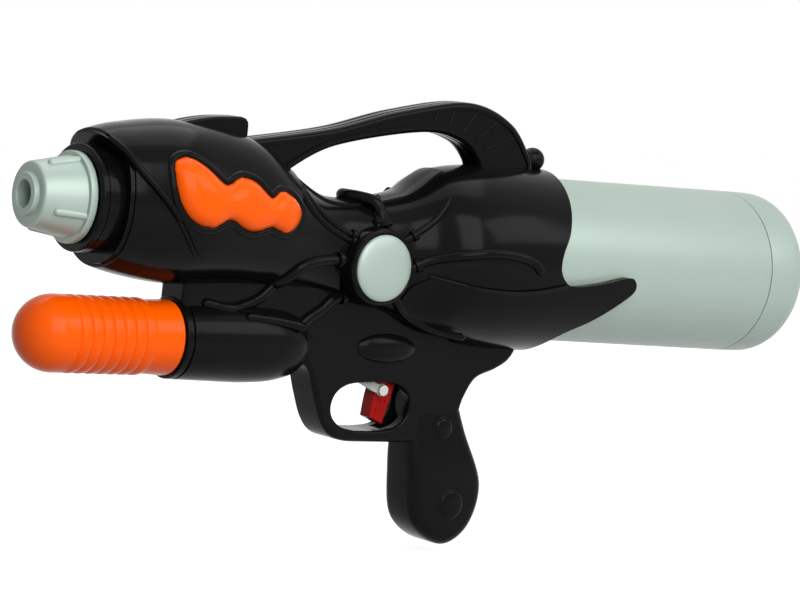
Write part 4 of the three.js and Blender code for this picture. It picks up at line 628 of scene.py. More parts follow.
# The whole body as one closed form, grown or shrunk all round
def body_form(grow=0.0):
    bm = bmesh.new()
    line = [bm.verts.new((i, 0, 1)) for i in range(BODY_STEPS + 1)]
    edges = [bm.edges.new(pair) for pair in zip(line, line[1:])]
    full_turn(bm, line + edges, BODY_SIDES)
    for vert in bm.verts:
        step = round(vert.co.x)
        x, top, bottom, half, square = station(step / BODY_STEPS)
        turn = math.atan2(vert.co.z, vert.co.y)
        c = math.cos(turn)
        s = math.sin(turn)
        power = 2 / square
        y = (half + grow) * math.copysign(abs(c) ** power, c)
        z = (top + bottom) / 2 + ((top - bottom) / 2 + grow) * math.copysign(abs(s) ** power, s)
        vert.co = place(x if step else x - grow, y, z)
    closed_up(bm)
    return bm


# Half width of the body at a place in side view, at least as wide as the flat frame
def side_y(x, z, lift=0.0):
    low, high = 0.0, 1.0
    for _ in range(30):
        t = (low + high) / 2
        if station(t)[0] < x:
            low = t
        else:
            high = t
    _, top, bottom, half, square = station(t)
    ratio = min(1.0, abs((z - (top + bottom) / 2) / ((top - bottom) / 2)))
    return max(half * (1 - ratio**square) ** (1 / square), FRAME_HALF) + lift


# A round bead laid on the body along a line in side view
def bead(line, side, lift, radius, closed=False):
    return tube([place(x, side * side_y(x, z, lift), z) for x, z in line], radius, closed)


def tank_shoulder(steps, grow=0.0):
    points = []
    for a in quarter(steps):
        x = TANK_FRONT_X + TANK_BEND * (1 - math.cos(a)) - grow
        points.append((x, TANK_FRONT_R - TANK_BEND + TANK_BEND * math.sin(a) + grow))
    return points


# The room that the tank takes up in the cup
def tank_room(grow):
    neck = TANK_NECK_R + grow
    front = TANK_NECK_X - grow
    start = [(front, 0), (front, neck), (TANK_FRONT_X - grow, neck)]
    profile = [*start, *tank_shoulder(8, grow), (410, TANK_R + grow), (410, 0)]
    return spun(profile, seat((0, 0, TANK_Z)), sides=128)


# Swept rear edge of the cup, from the top over the fin to the underside
CUP_EDGE = [
    (281, 60), (277, 36), (273, 26), (269, 14), (264.5, 2), (259.5, -8), (258.7, -16), (263, -22), (270, -24),
    (288, -21.5), (304, -18), (309, -20), (309.5, -25), (303, -31), (289, -41.5), (277, -49), (271, -57),
    (270, -66), (270, -90),
]
SIDE_REACH = 90


# A block as deep as the toy is wide, within an outline seen from the side
def side_plate(points):
    return plate(points, -SIDE_REACH, SIDE_REACH)


def behind_edge():
    return side_plate(smooth_line(CUP_EDGE, 8) + [(430, -90), (430, 60)])


# A thin raised layer of the body within an outline seen from the side
def layer(points, rise):
    return carved(body_form(rise), side_plate(points), "INTERSECT")


# The narrow joint line between the two shells
def seam_room():
    bm = carved(body_form(grow=2.0), body_form(-SEAM_DEPTH))
    strip = block(-10, 330, -SEAM_HALF, SEAM_HALF, -SEAM_REACH, SEAM_REACH)
    return carved(bm, strip, "INTERSECT")


def screw_rooms(*names):
    places = [SCREWS[name] for name in names]
    return together(*[rod(SCREW_ROOM_R, (x, SCREW_SEAT_Y, z), (x, BEYOND, z)) for x, z in places])


# Everything ahead of a place on the barrel line, and a round bar through the nose
def ahead_of(x):
    return block(-40, x, -BEYOND, BEYOND, -BEYOND, BEYOND)


def nose_bar(radius):
    return rod(radius, (-41, 0, 0), (13, 0, 0), sides=112)


HOOD_EDGE = [
    ("line", [(7.6, 60), (7.6, 30)]),
    ("curve", [(9.2, 27), (12, 22.4), (16, 16.4), (20.5, 11.6), (30.5, 1.6), (40.5, -9.6)]),
    ("curve", [(46, -16.4), (52, -21.2), (64, -22.6), (83, -20.4), (96, -15.4), (104, -7.4), (109, 3)]),
    ("line", [(113, 14), (113, 60)]),
]
HOOD_CREST = [
    (8.2, 28.6), (9.4, 26.6), (12.2, 22.2), (16.2, 16.2), (20.7, 11.4), (26, 6), (31, 1), (36, -4.6),
]
CHEEK_TOP = [(201, -26.6), (211, -28.4), (230, -29.2), (247, -27.7), (264, -24.2)]

# Rail along the waist and the band over it
RAIL_RISE = 1.1
RAIL_HALF = 9.5
BAND_X = 165
BAND_R = 3.2


class SQUIRTER_OT_shell(bpy.types.Operator):
    """Models the black body with its hood, waist trim, cheek plates and the cup round the tank"""

    bl_idname = "squirter.make_shell"
    bl_label = "Body shell"

    def execute(self, context):
        hood = outline(*HOOD_EDGE)
        step = carved(ahead_of(NOSE_STEP_X), nose_bar(NOSE_R))
        step = carved(step, side_plate(hood))
        body = carved(body_form(), tank_room(TANK_GAP))
        body = carved(body, behind_edge())
        body = carved(body, step)
        lip = carved(ahead_of(NOSE_LIP_X), body_form(-NOSE_LIP_DEPTH))
        body = carved(body, carved(lip, side_plate(hood)))
        body = carved(body, rod(BARREL_ROOM_R, (-20, 0, 0), (70, 0, 0), sides=64))
        body = carved(body, screw_rooms("screw_nose", "screw_chin"))
        body = carved(body, seam_room())
        finished("body_halves", body, nodes=("housing_left", "housing_right"))
        self.hood(hood)
        self.waist()
        self.cheeks()
        self.collar()
        return {"FINISHED"}

    # The hood has a narrow lower step all along its edge
    def hood(self, hood):
        for name, edge, rise in (("nose_hood", hood, 1.9), ("hood_step", drawn_in(hood, -1.7), 0.9)):
            cover = carved(layer(edge, rise), nose_bar(HOOD_BORE_R))
            cover = carved(cover, screw_rooms("screw_nose", "screw_chin"))
            finished(name, cover)
        line = smooth_line(HOOD_CREST, 8)
        crests = [bead(line, side, lift=1.2, radius=1.5) for side in SIDES]
        finished("hood_crests", together(*crests))

    # The rail along the top of the waist and the round band over it
    def waist(self):
        rail = carved(body_form(RAIL_RISE), block(112, 206, -RAIL_HALF, RAIL_HALF, -6, 40), "INTERSECT")
        half = [
            (BAND_X, -side_y(BAND_X, -3, 0.4), -3),
            (BAND_X, -side_y(BAND_X, 3, 0.6), 3),
            (162.6, -13.5, 8.6),
            (158, -7.5, 10.2),
            (153.4, 0, 10.6),
        ]
        run = half + [(x, -y, z) for x, y, z in reversed(half[:-1])]
        flat = smooth_line([(x, y) for x, y, z in run], 8)
        tall = smooth_line([(k, z) for k, (x, y, z) in enumerate(run)], 8)
        band = tube([place(x, y, z) for (x, y), (_, z) in zip(flat, tall)], BAND_R)
        finished("waist_trim", together(rail, band))

    # Raised plates on the sides of the cup, with a bead along their upper edge
    def cheeks(self):
        front = [
            (220, -54), (209, -52.4), (198.6, -49.6), (186.6, -44.4), (180, -38.6), (182, -31), (191, -24.8),
        ]
        shape = outline(
            ("line", [(191, -24.8)]),
            ("curve", CHEEK_TOP),
            ("line", [(313, -14.4), (313, -70), (226, -70)]),
            ("curve", front),
        )
        plates = carved(layer(shape, rise=1.3), body_form(grow=-2.0))
        plates = carved(plates, behind_edge())
        line = smooth_line([(189, -24.4), *CHEEK_TOP], 8)
        edges = [bead(line, side, lift=1.0, radius=1.0) for side in SIDES]
        finished("cheek_plates", together(plates, *edges))

    # The stepped ring behind the nozzle
    def collar(self):
        front = [(0.6, 9.4), (0.6, NOSE_R, 1.0), (3.8, NOSE_R, 0.3), (3.8, 24.1), (4.9, 24.1)]
        profile = [*front, (4.9, NOSE_R, 0.3), (13, NOSE_R), (13, 9.4), (0.6, 9.4)]
        finished("nose_collar", spun(profile, seat((0, 0, 0))))


# Shallow recess in the handle's sides and the ribs in it
HANDLE_RIM = 1.0
HANDLE_HOLLOW_Y = 7.1
HANDLE_RIB_Y = 7.0
HANDLE_RIB_R = 0.6


class SQUIRTER_OT_handle(bpy.types.Operator):
    """Models the arched carry handle, its ribs and ball, and the sight block"""

    bl_idname = "squirter.make_handle"
    bl_label = "Carry handle"

    def execute(self, context):
        edge = context.scene.squirter_sizes.handle_edge / MM
        shape = outline(
            ("line", [(84, 33), (92, 34)]),
            ("curve", [(138, 42.5), (178, 54), (221, 61.5), (249.5, 53), (265, 35.4)]),
            ("line", [(265.6, 30), (262, 18), (234, 18), (232.4, 23)]),
            ("curve", [(229, 33), (217, 42), (192, 44.5), (140, 34), (113, 20)]),
            ("line", [(104, 12), (84, 16)]),
        )
        arch = plate(shape, -HANDLE_HALF, HANDLE_HALF, edge, segments=5)
        hollow = drawn_in(shape, edge + HANDLE_RIM)
        for side in SIDES:
            arch = carved(arch, plate(hollow, side * HANDLE_HOLLOW_Y, side * 12))
        arch = carved(arch, self.top_grooves(shape))
        arch = carved(arch, screw_rooms("screw_brow", "screw_handle"))
        finished("carry_handle", arch, weighted=True)
        finished("handle_ribs", self.ribs())
        stalk = rod(4.6, (258, 0, 37), (268, 0, 36.4), sides=40)
        tip = together(ball((271, 0, 36), (6.2, 6.2, 6.2)), stalk)
        finished("handle_ball", tip)
        self.sight()
        return {"FINISHED"}

    def sight(self):
        shape = outline(
            ("line", [(40, 35)]),
            ("curve", [(52, 39), (68, 42.5), (84, 43.8)]),
            ("line", [(86.6, 43.2), (88.2, 41.6), (88.5, 39.4), (88.5, 27), (40, 27)]),
        )
        sight = plate(shape, -SIGHT_HALF, SIGHT_HALF, edge=1.2)
        sight = carved(sight, self.top_grooves(shape))
        finished("sight_block", sight, weighted=True)

    # Two shallow grooves leave ridges along the top
    def top_grooves(self, shape):
        rings = []
        for side in SIDES:
            ring = plate(drawn_in(shape, -3), side * 1.9, side * 3.9)
            core = plate(drawn_in(shape, 0.9), side * 1.0, side * 5.0)
            rings.append(carved(ring, core))
        return together(*rings)

    # Low ribs that fan out round the rear bend
    def ribs(self):
        lines = [
            ((200, 55.2), (198.6, 50.4)),
            ((210.6, 57.6), (208.6, 49.6)),
            ((225.4, 57.4), (217.6, 46.4)),
            ((238.6, 54), (226.6, 43)),
            ((251.6, 46.4), (233, 39)),
        ]
        bars = []
        for side in SIDES:
            for a, b in lines:
                y = side * HANDLE_RIB_Y
                bars.append(rod(HANDLE_RIB_R, (a[0], y, a[1]), (b[0], y, b[1]), sides=14))
        return together(*bars)


# Rooms for the link and the swinging trigger: lowest and highest x, y and z
LINK_ROOM = (172, 202.5, -8.6, 5.0, -82, -57)
TRIGGER_ROOM = (187, 201.6, -4.7, 4.7, -103.4, -80)

# The grip is slimmer at its top and swells to its full width further down
GRIP_TOP_Z = -82
GRIP_ROWS = 26
GRIP_ROW = 2
GRIP_SWELL = 50
GRIP_SLIM = 0.77


class SQUIRTER_OT_frame(bpy.types.Operator):
    """Models the flat frame with the trigger guard, the pistol grip and the pump sleeve"""

    bl_idname = "squirter.make_frame"
    bl_label = "Frame and grip"

    def execute(self, context):
        sizes = context.scene.squirter_sizes
        self.flat_frame(sizes.shell_edge / MM)
        self.grip(sizes.grip_edge / MM)
        self.studs()
        swells = [ball((181.4, side * 10, -62.6), (18.4, 4.4, 7.4), u=64, v=32) for side in SIDES]
        swells = carved(together(*swells), screw_rooms("screw_frame"))
        finished("frame_swells", swells)
        self.sleeve()
        return {"FINISHED"}

    def flat_frame(self, edge):
        guard = [(136.5, -75), (141.4, -87), (146.6, -99), (153, -106.4), (162, -109.2), (174, -109.6)]
        tang = [
            (235.8, -85.6), (242, -76.4), (254, -71.4), (262, -66.6), (266, -60), (265, -54.4), (258, -51.8),
        ]
        shape = outline(
            ("line", [(59, -26), (59, -56.5), (128, -70)]),
            ("curve", guard),
            ("line", [(224, -109.6), (233.4, -93)]),
            ("curve", tang),
            ("line", [(208, -46), (178, -26)]),
        )
        hole_back = [
            (182, -79.6), (192, -80.8), (198.2, -84.6), (200.2, -90.5), (198, -97.6), (191, -102.6),
            (180, -104),
        ]
        hole_front = [(159, -102), (153.4, -97.4), (152, -91.5), (154.6, -85.4), (161, -81.4), (170, -80)]
        hole = outline(
            ("line", [(170, -80)]),
            ("curve", hole_back),
            ("line", [(168, -104)]),
            ("curve", hole_front),
        )
        bm = plate(shape, -FRAME_HALF, FRAME_HALF, edge)
        bm = carved(bm, plate(hole, -40, 40), itself=True)
        rim = [
            e for e in bm.edges
            if len(e.link_faces) == 2 and e.calc_face_angle() > 1.2
            and all(abs(abs(v.co.y) - FRAME_HALF * MM) < 1e-5 for v in e.verts)
        ]
        bevel(bm, rim, width=1.4, segments=4)
        bm = carved(bm, block(*LINK_ROOM))
        bm = carved(bm, block(*TRIGGER_ROOM))
        bm = carved(bm, screw_rooms("screw_frame", "screw_tang"))
        finished("trigger_frame", bm, weighted=True)

    def grip(self, edge):
        butt = [
            (205.5, -124), (211, -150), (231, -161.5), (247, -152), (252, -130), (240, -104), (234.6, -91),
        ]
        shape = outline(
            ("line", [(203, -98)]),
            ("curve", butt),
            ("line", [(236, -80), (206, -80)]),
        )
        bm = plate(shape, -GRIP_HALF, GRIP_HALF, edge, segments=7)
        for k in range(GRIP_ROWS):
            geom = bm.verts[:] + bm.edges[:] + bm.faces[:]
            level = place(0, 0, GRIP_TOP_Z - GRIP_ROW * k)
            bmesh.ops.bisect_plane(bm, geom=geom, dist=1e-6, plane_co=level, plane_no=(0, 0, 1))
        for vert in bm.verts:
            t = min(1.0, max(0.0, (GRIP_TOP_Z - (vert.co.z / MM + GRIP_Z)) / GRIP_SWELL))
            vert.co.y *= GRIP_SLIM + (1 - GRIP_SLIM) * t * t * (3 - 2 * t)
        bm = carved(bm, screw_rooms("screw_grip", "screw_butt"))
        finished("grip", bm, angle=40)

    # Two low studs with a ring round each on both sides of the grip
    def studs(self):
        bumps = []
        for side in SIDES:
            for x, z, r, sunk in ((223, -102, 5.4, 1.9), (231.7, -140.5, 7.4, 0)):
                where = seat((x, -side * sunk, z), (0, side, 0))
                crown = [(13.2 + 1.4 * math.sin(a), r * math.cos(a)) for a in quarter(10)]
                ring = [(10, 0), (10, r + 1.5), (13.3, r + 1.5, 0.4), (13, r + 0.5, 0.3)]
                bumps.append(spun([*ring, *crown], where, sides=48))
        studs = carved(together(*bumps), screw_rooms("screw_grip", "screw_butt"))
        finished("grip_studs", studs)

    # The sleeve that the pump slides into, closed to a round nose at the back
    def sleeve(self):
        inner = [(132, 0), (126, PUMP_BORE_R), (58, PUMP_BORE_R)]
        groove = [(58, 19.4, 0.6), (61, 19.6, 0.4), (61, 18.7), (62.2, 18.7), (62.2, 19.6, 0.4)]
        outer = [(80, 20.0), (100, 20.4, 6), (116, 19.6, 6), (128, 16.7, 4), (137, 10.2, 3), (140, 0)]
        bm = spun([*inner, *groove, *outer], seat((0, 0, PUMP_Z)))
        finished("pump_sleeve", bm)


# Radius of each raised pipe, where its collar sits, and its run from the hub outwards
PIPES = [
    (1.25, 6.5, [
        (153, -7.4), (146.2, -7.2), (139.5, -4.8), (131, -0.4), (123.4, 5), (117.5, 10.6), (113, 17),
    ]),
    (1.25, 6.5, [
        (153, -10.4), (146, -10.2), (139, -7.6), (130, -3.4), (121.6, 2.2), (115.4, 8.4), (110.6, 15.6),
    ]),
    (1.3, 3.0, [(162, -3), (162.6, 1.5), (162.6, 6.4)]),
    (1.3, 3.0, [(167.4, -3), (167.2, 2), (167.4, 7.5), (165.8, 11)]),
    (1.4, 7.5, [(175, -9), (181.9, -4.9), (187.5, -0.9), (192.3, 3.6), (195.9, 8.2), (199.2, 13.3)]),
    (1.9, 6, [
        (179, -22.6), (184.1, -19.2), (190.9, -16), (203.3, -12.3), (218.3, -10.1), (231.1, -11),
        (240.5, -13.6), (244.6, -17),
    ]),
    (2.3, None, [(175, -35), (178.8, -38.6), (186.6, -44.4), (198.6, -49.6), (209, -52.4), (220.5, -53.7)]),
    (2.3, 6, [(155, -36), (151, -37.4), (144.6, -40.2), (139, -45), (131.7, -49.6), (127, -54)]),
    (1.9, 5, [(127, -54), (120.7, -52.4), (107.7, -50.7), (94, -49.6)]),
    (2.2, 7, [
        (146, -19.4), (138.6, -19.8), (127, -21), (117.2, -24.6), (110.8, -32), (103, -40), (94, -44.4),
        (84, -46.4), (72, -44.6),
    ]),
]
COLLAR_SCALE = 1.25
SLEEVE_R = 20


class SQUIRTER_OT_hub(bpy.types.Operator):
    """Models the round hubs, their medallions and the raised pipes with their collars"""

    bl_idname = "squirter.make_hub"
    bl_label = "Hub and pipes"

    def execute(self, context):
        rim = [(21, 19.8), (25.6, 18.8, 1.2), (27, 17.8, 0.6), (26.6, 16.8, 0.3), (25, 16.8), (25, 0)]
        dome = [(25.9, 0), (25.9, 16.3, 0.5)]
        for a in quarter(12):
            dome.append((26.8 + 3.4 * math.sin(a), 16.3 * math.cos(a)))
        hubs = []
        for side in SIDES:
            where = seat((HUB_X, 0, HUB_Z), (0, side, 0))
            hubs.append(spun([(2, 0), (2, 19.8), *rim], where))
            name = "medallion_left" if side < 0 else "medallion_right"
            finished(name, spun(dome, where), "silver_plastic", nodes=(name,))
        finished("hub_rings", together(*hubs))
        scale = context.scene.squirter_sizes.pipe_scale
        pipes = []
        for side in SIDES:
            for radius, collar, run in PIPES:
                pipes.append(self.pipe(run, side, radius * scale, collar))
        finished("raised_pipes", together(*pipes))
        return {"FINISHED"}

    # The pipe lies half sunk in the body, the flat frame or the pump sleeve
    def reach(self, x, z):
        off = abs(z - PUMP_Z)
        sleeve = math.sqrt(SLEEVE_R**2 - off**2) if off < SLEEVE_R and 60 < x < 124 else 0
        return max(side_y(x, z), sleeve)

    def pipe(self, run, side, radius, collar):
        line = smooth_line(run, 8)
        points = [place(x, side * self.reach(x, z), z) for x, z in line]
        parts = [tube(points, radius)]
        for end in (points[0], points[-1]):
            parts.append(self.knob(end, radius))
        if collar:
            gone = 0.0
            for a, b in zip(points, points[1:]):
                gone += (b - a).length
                if gone > collar * MM:
                    parts.append(self.ring(a, (b - a).normalized(), radius * COLLAR_SCALE))
                    break
        return together(*parts)

    def knob(self, spot, radius):
        bm = bmesh.new()
        where = Matrix.Translation(spot)
        bmesh.ops.create_uvsphere(bm, u_segments=20, v_segments=12, radius=radius * MM, matrix=where)
        return bm

    def ring(self, spot, along, radius):
        turn = Vector((1, 0, 0)).rotation_difference(along).to_matrix().to_4x4()
        where = Matrix.Translation(spot) @ turn @ Matrix.Scale(MM, 4)
        rim = radius + 0.7
        return spun([(-1.3, 0), (-1.3, rim, 0.4), (1.3, rim, 0.4), (1.3, 0)], where, sides=28)


# Lobed edge of the side panels
PANEL_EDGE = [
    (31.8, 17.5), (33.1, 21.0), (38.1, 23.2), (42.8, 22.6), (47.4, 20.4), (51.7, 17.5), (55.8, 14.3),
    (59.1, 12.4), (62.7, 13.2), (65.9, 15.1), (69.7, 16.1), (74.5, 15.7), (79.3, 14.0), (83.4, 11.0),
    (86.2, 8.8), (88.5, 7.8), (91.0, 8.9), (94.2, 10.7), (98.7, 10.7), (103.6, 8.6), (107, 5.1),
    (108.0, 1.6), (106.4, -2.7), (103.3, -6.0), (99.2, -7.5), (94.5, -6.6), (90, -5.2), (86.3, -5.9),
    (81.7, -7.4), (76.2, -7.6), (70.5, -5.9), (66, -3.6), (62.7, -2.9), (60, -3.6), (57.2, -5.2),
    (53.0, -6.8), (47.6, -6.6), (42.5, -4.8), (38.0, -1.3), (34.5, 3.7), (32.3, 10.4), (31.8, 17.5),
]
PANEL_LIFT = 2.0
PANEL_SUNK = 2.5
PANEL_SWELL = 9.5
PANEL_OUT = 0.5
LIP_OUT = 1.6


def gap_to(here, a, b):
    run = b - a
    t = max(0.0, min(1.0, (here - a).dot(run) / run.length_squared))
    return (a + run * t - here).length


class SQUIRTER_OT_panels(bpy.types.Operator):
    """Models the lobed side panels and the lips round them"""

    bl_idname = "squirter.make_panels"
    bl_label = "Side panels"

    def execute(self, context):
        rise = context.scene.squirter_sizes.lobe_rise / MM
        drawn = smooth_line(PANEL_EDGE, 5)[:-1]
        rim = drawn_in(drawn, -LIP_OUT)
        edge = drawn_in(drawn, -PANEL_OUT)
        lips = []
        for side in SIDES:
            name = "side_panel_left" if side < 0 else "side_panel_right"
            finished(name, self.pillow(edge, side, rise), "orange_plastic", nodes=(name,), angle=60)
            lips.append(bead(rim, side, lift=1.3, radius=2.0, closed=True))
        finished("panel_lips", together(*lips), angle=60)
        return {"FINISHED"}

    # A closed pad over the body whose top swells with the distance from its edge
    def pillow(self, edge, side, rise):
        bm = bmesh.new()
        verts = [bm.verts.new((x, 0, z)) for x, z in edge]
        rim = [bm.edges.new(pair) for pair in round_pairs(verts)]
        bmesh.ops.triangle_fill(bm, use_beauty=True, edges=rim)
        inner = [e for e in bm.edges if not e.is_boundary]
        bmesh.ops.subdivide_edges(bm, edges=inner, cuts=9, use_grid_fill=True)
        bmesh.ops.triangulate(bm, faces=bm.faces)
        outer = [Vector(p) for p in edge]
        top = {}
        low = {}
        for vert in bm.verts:
            x, z = vert.co.x, vert.co.z
            gap = min(gap_to(Vector((x, z)), a, b) for a, b in round_pairs(outer))
            part = min(1.0, gap / PANEL_SWELL)
            tall = rise * math.sqrt(max(0.0, 1 - (1 - part) ** 2))
            top[vert] = place(x, side * (side_y(x, z, PANEL_LIFT) + tall), z)
            if vert.is_boundary:
                low[vert] = place(x, side * (side_y(x, z) - PANEL_SUNK), z)
        for vert, spot in top.items():
            vert.co = spot
        border = [e for e in bm.edges if e.is_boundary]
        for vert in new_verts(bmesh.ops.extrude_edge_only(bm, edges=border)):
            near = min(low, key=lambda v: (v.co - vert.co).length_squared)
            vert.co = low[near]
        closed_up(bm)
        return bm


# Cone of the nozzle, from its flange to its tip
NOZZLE_R = 19
NOZZLE_TIP_R = 15
NOZZLE_LONG = 24
NOZZLE_RIBS = 4
NOZZLE_RIB_R = 2
NOZZLE_TURN = math.radians(-22)


class SQUIRTER_OT_nozzle(bpy.types.Operator):
    """Models the ribbed nozzle cap"""

    bl_idname = "squirter.make_nozzle"
    bl_label = "Nozzle"

    def execute(self, context):
        flange = [(0, 9.4), (0, 21.3, 0.6), (-3.6, 21.3, 0.9), (-3.6, NOZZLE_R, 0.3)]
        tip = [(-NOZZLE_LONG, NOZZLE_TIP_R, 1.6), (-NOZZLE_LONG, 10, 0.4), (-26.5, 10, 0.8)]
        bore = [(-26.5, 6.4, 0.6), (-15.4, 5.4), (-15.4, 1.6), (-12.4, 1.6), (-12.4, 9.4), (0, 9.4)]
        cap = spun([*flange, *tip, *bore], seat((0, 0, 0)), sides=112)
        ribs = []
        for i in range(NOZZLE_RIBS):
            turn = NOZZLE_TURN + math.tau * i / NOZZLE_RIBS
            ends = []
            for x in (-16.8, -1.8):
                r = NOZZLE_R + (NOZZLE_R - NOZZLE_TIP_R) / NOZZLE_LONG * x
                ends.append((x, -r * math.cos(turn), r * math.sin(turn)))
            ribs.append(rod(NOZZLE_RIB_R, ends[0], ends[1]))
            ribs.append(ball(ends[0], (NOZZLE_RIB_R, NOZZLE_RIB_R, NOZZLE_RIB_R), u=24, v=14))
        finished("nozzle", together(cap, *ribs), "silver_plastic", "nozzle", ("nozzle_cap",))
        return {"FINISHED"}


class SQUIRTER_OT_pump(bpy.types.Operator):
    """Models the grooved pump grip"""

    bl_idname = "squirter.make_pump"
    bl_label = "Pump grip"

    def execute(self, context):
        depth = context.scene.squirter_sizes.groove_depth / MM
        profile = [(-14.4, 0), (-14.4, PUMP_BORE_R), (PUMP_BACK_X, PUMP_BORE_R), (PUMP_BACK_X, PUMP_R, 1.2)]
        steps = 14
        for i in range(GROOVE_COUNT, 0, -1):
            for k in range(steps):
                t = 1 - k / steps
                swell = math.sin(math.pi * t) ** 0.5
                profile.append((GROOVE_FRONT_X + GROOVE_PITCH * (i - 1 + t), GROOVE_R - depth * (1 - swell)))
        profile.append((GROOVE_FRONT_X, GROOVE_R - depth))
        profile.append((0.6, PUMP_R))
        for a in reversed(quarter(20)[1:]):
            profile.append((PUMP_TIP_X + PUMP_R * (1 - math.cos(a)), PUMP_R * math.sin(a)))
        profile.append((PUMP_TIP_X, 0))
        finished("pump_grip", spun(profile, seat((0, 0, PUMP_Z))), "orange_plastic", "pump", ("pump_grip",))
        return {"FINISHED"}


class SQUIRTER_OT_tank(bpy.types.Operator):
    """Models the round tank and its glued end"""

    bl_idname = "squirter.make_tank"
    bl_label = "Tank"

    def execute(self, context):
        neck = [(TANK_NECK_X, TANK_BORE_R), (TANK_NECK_X, TANK_NECK_R, 0.5), (TANK_FRONT_X, TANK_NECK_R)]
        inside = [(409.6, 40.8), (225, 39), (225, TANK_BORE_R), (TANK_NECK_X, TANK_BORE_R)]
        self.round_piece("tank", [*neck, *tank_shoulder(12), (409.6, TANK_R, 0.4), *inside])
        bend = []
        for a in quarter(13):
            x = TANK_BACK_X - TANK_BACK_BEND + TANK_BACK_BEND * math.sin(a)
            bend.append((x, TANK_R - TANK_BACK_BEND + TANK_BACK_BEND * math.cos(a)))
        lip = [(402, 38.3), (402, 40.5), (410.3, 40.5), (410.3, TANK_R, 0.4)]
        inside = [(TANK_BACK_X, 0), (438.8, 0), (438.8, 28), (410, 38.3), (402, 38.3)]
        self.round_piece("tank_end", [*lip, *bend, *inside])
        return {"FINISHED"}

    def round_piece(self, name, profile):
        finished(name, spun(profile, seat((0, 0, TANK_Z)), sides=160), "silver_plastic", "tank", (name,))


# Side-view place on the link's line, from the pin towards the valve
def down_link(along, up):
    return (
        LINK_X - along * math.cos(LINK_SLOPE) + up * math.sin(LINK_SLOPE),
        LINK_Z + along * math.sin(LINK_SLOPE) + up * math.cos(LINK_SLOPE),
    )


# The coil's ends along the link, its turns and sizes, and how far it is pressed
COIL_LOW = 33.75
COIL_HIGH = 41.95
COIL_TURNS = 4
COIL_R = 2.7
WIRE_R = 0.42
COIL_STEPS = 28
COIL_END = 0.45


class SQUIRTER_OT_trigger(bpy.types.Operator):
    """Models the red trigger with its grooves, the pull link and the valve's spring"""

    bl_idname = "squirter.make_trigger"
    bl_label = "Trigger"

    def execute(self, context):
        shape = outline(
            ("line", [(189, PIVOT_Z)]),
            ("curve", [(184.4, -78), (181.8, -87), (180.6, -98)]),
            ("line", [(189, -101.5)]),
            ("curve", [(193, -88), (199, PIVOT_Z)]),
        )
        bm = plate(shape, -TRIGGER_HALF, TRIGGER_HALF, edge=0.7)
        bm = carved(bm, cross_rod(5, PIVOT_X, PIVOT_Z, half=3.9, sides=40), "UNION")
        cuts = []
        for side in SIDES:
            for k in range(3):
                y = side * 4.1
                cuts.append(rod(0.55, (183.6 + 2.2 * k, y, -96.5), (184.6 + 2.2 * k, y, -89), sides=12))
        bm = carved(bm, together(*cuts))
        bm = carved(bm, cross_rod(2.3, PIVOT_X, PIVOT_Z))
        bm = carved(bm, cross_rod(2.1, LINK_X, LINK_Z))
        finished("trigger", bm, "red_plastic", "trigger", ("trigger",), weighted=True)
        self.link()
        self.spring()
        return {"FINISHED"}

    # Slim bar with an eye at the pin and a block that holds the stem
    def link(self):
        bar_shape = ((0, -2.2), (5, -2.7), (12, -2.2), (27, -1.8), (27, 1.8), (0, 2))
        foot_shape = ((23, -2.9), (26.7, -2.9), (26.7, 2.9), (23, 2.9))
        bar = plate([down_link(*p) for p in bar_shape], -6.2, -4.4, edge=0.3, segments=2)
        foot = plate([down_link(*p) for p in foot_shape], -6.0, 2.6, edge=0.3, segments=2)
        bar = carved(bar, foot, "UNION")
        eye = rod(3.1, (LINK_X, -6.1, LINK_Z), (LINK_X, -4.5, LINK_Z), sides=40)
        bar = carved(bar, eye, "UNION")
        bar = carved(bar, cross_rod(2.2, LINK_X, LINK_Z))
        finished("pull_link", bar, "grey_plastic", "valve_slider", ("valve_link",), weighted=True)

    # Coil behind the seal
    def spring(self):
        count = COIL_TURNS * COIL_STEPS
        run = []
        for k in range(count + 1):
            t = k / count
            a = 2 * math.pi * COIL_TURNS * t
            x, z = down_link(COIL_LOW + (COIL_HIGH - COIL_LOW) * t, COIL_R * math.sin(a))
            run.append(place(x, COIL_R * math.cos(a), z))
        coil = finished("coil_spring", tube(run, WIRE_R), "steel", nodes=("valve_spring",), angle=60)
        x, z = down_link(COIL_LOW - COIL_END, 0)
        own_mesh(coil)


class SQUIRTER_OT_screws(bpy.types.Operator):
    """Models the pan-head screws with their cross recesses"""

    bl_idname = "squirter.make_screws"
    bl_label = "Screws"

    def execute(self, context):
        profile = [(-6.8, 0), (-6.2, 0.8)]
        for k in range(10):
            profile.append((-6.2 + k, 0.95))
            profile.append((-5.7 + k, 1.3))
        profile += [(3.7, 1.0), (3.7, 2.75, 0.3), (4.6, 2.7, 0.5), (5.6, 1.6, 1.2), (5.75, 0)]
        for name, (x, z) in SCREWS.items():
            screw = spun(profile, seat((x, 0, z), (0, 1, 0)), sides=32)
            for across, tall in ((1.7, 0.28), (0.28, 1.7)):
                screw = carved(screw, block(x - across, x + across, 4.9, 7, z - tall, z + tall))
            finished(name, screw, "steel", nodes=(name,))
        return {"FINISHED"}


class SQUIRTER_OT_inside(bpy.types.Operator):
    """Gives the solids of the record their finishes"""

    bl_idname = "squirter.finish_inside"
    bl_label = "Inside pieces"

    def execute(self, context):
        for part in frame["record"]["subparts"]:
            node = frame["nodes"][part["node"]]
            node.data.materials.clear()
            node.data.materials.append(FINISHES[part["material_slot"]]())
        return {"FINISHED"}


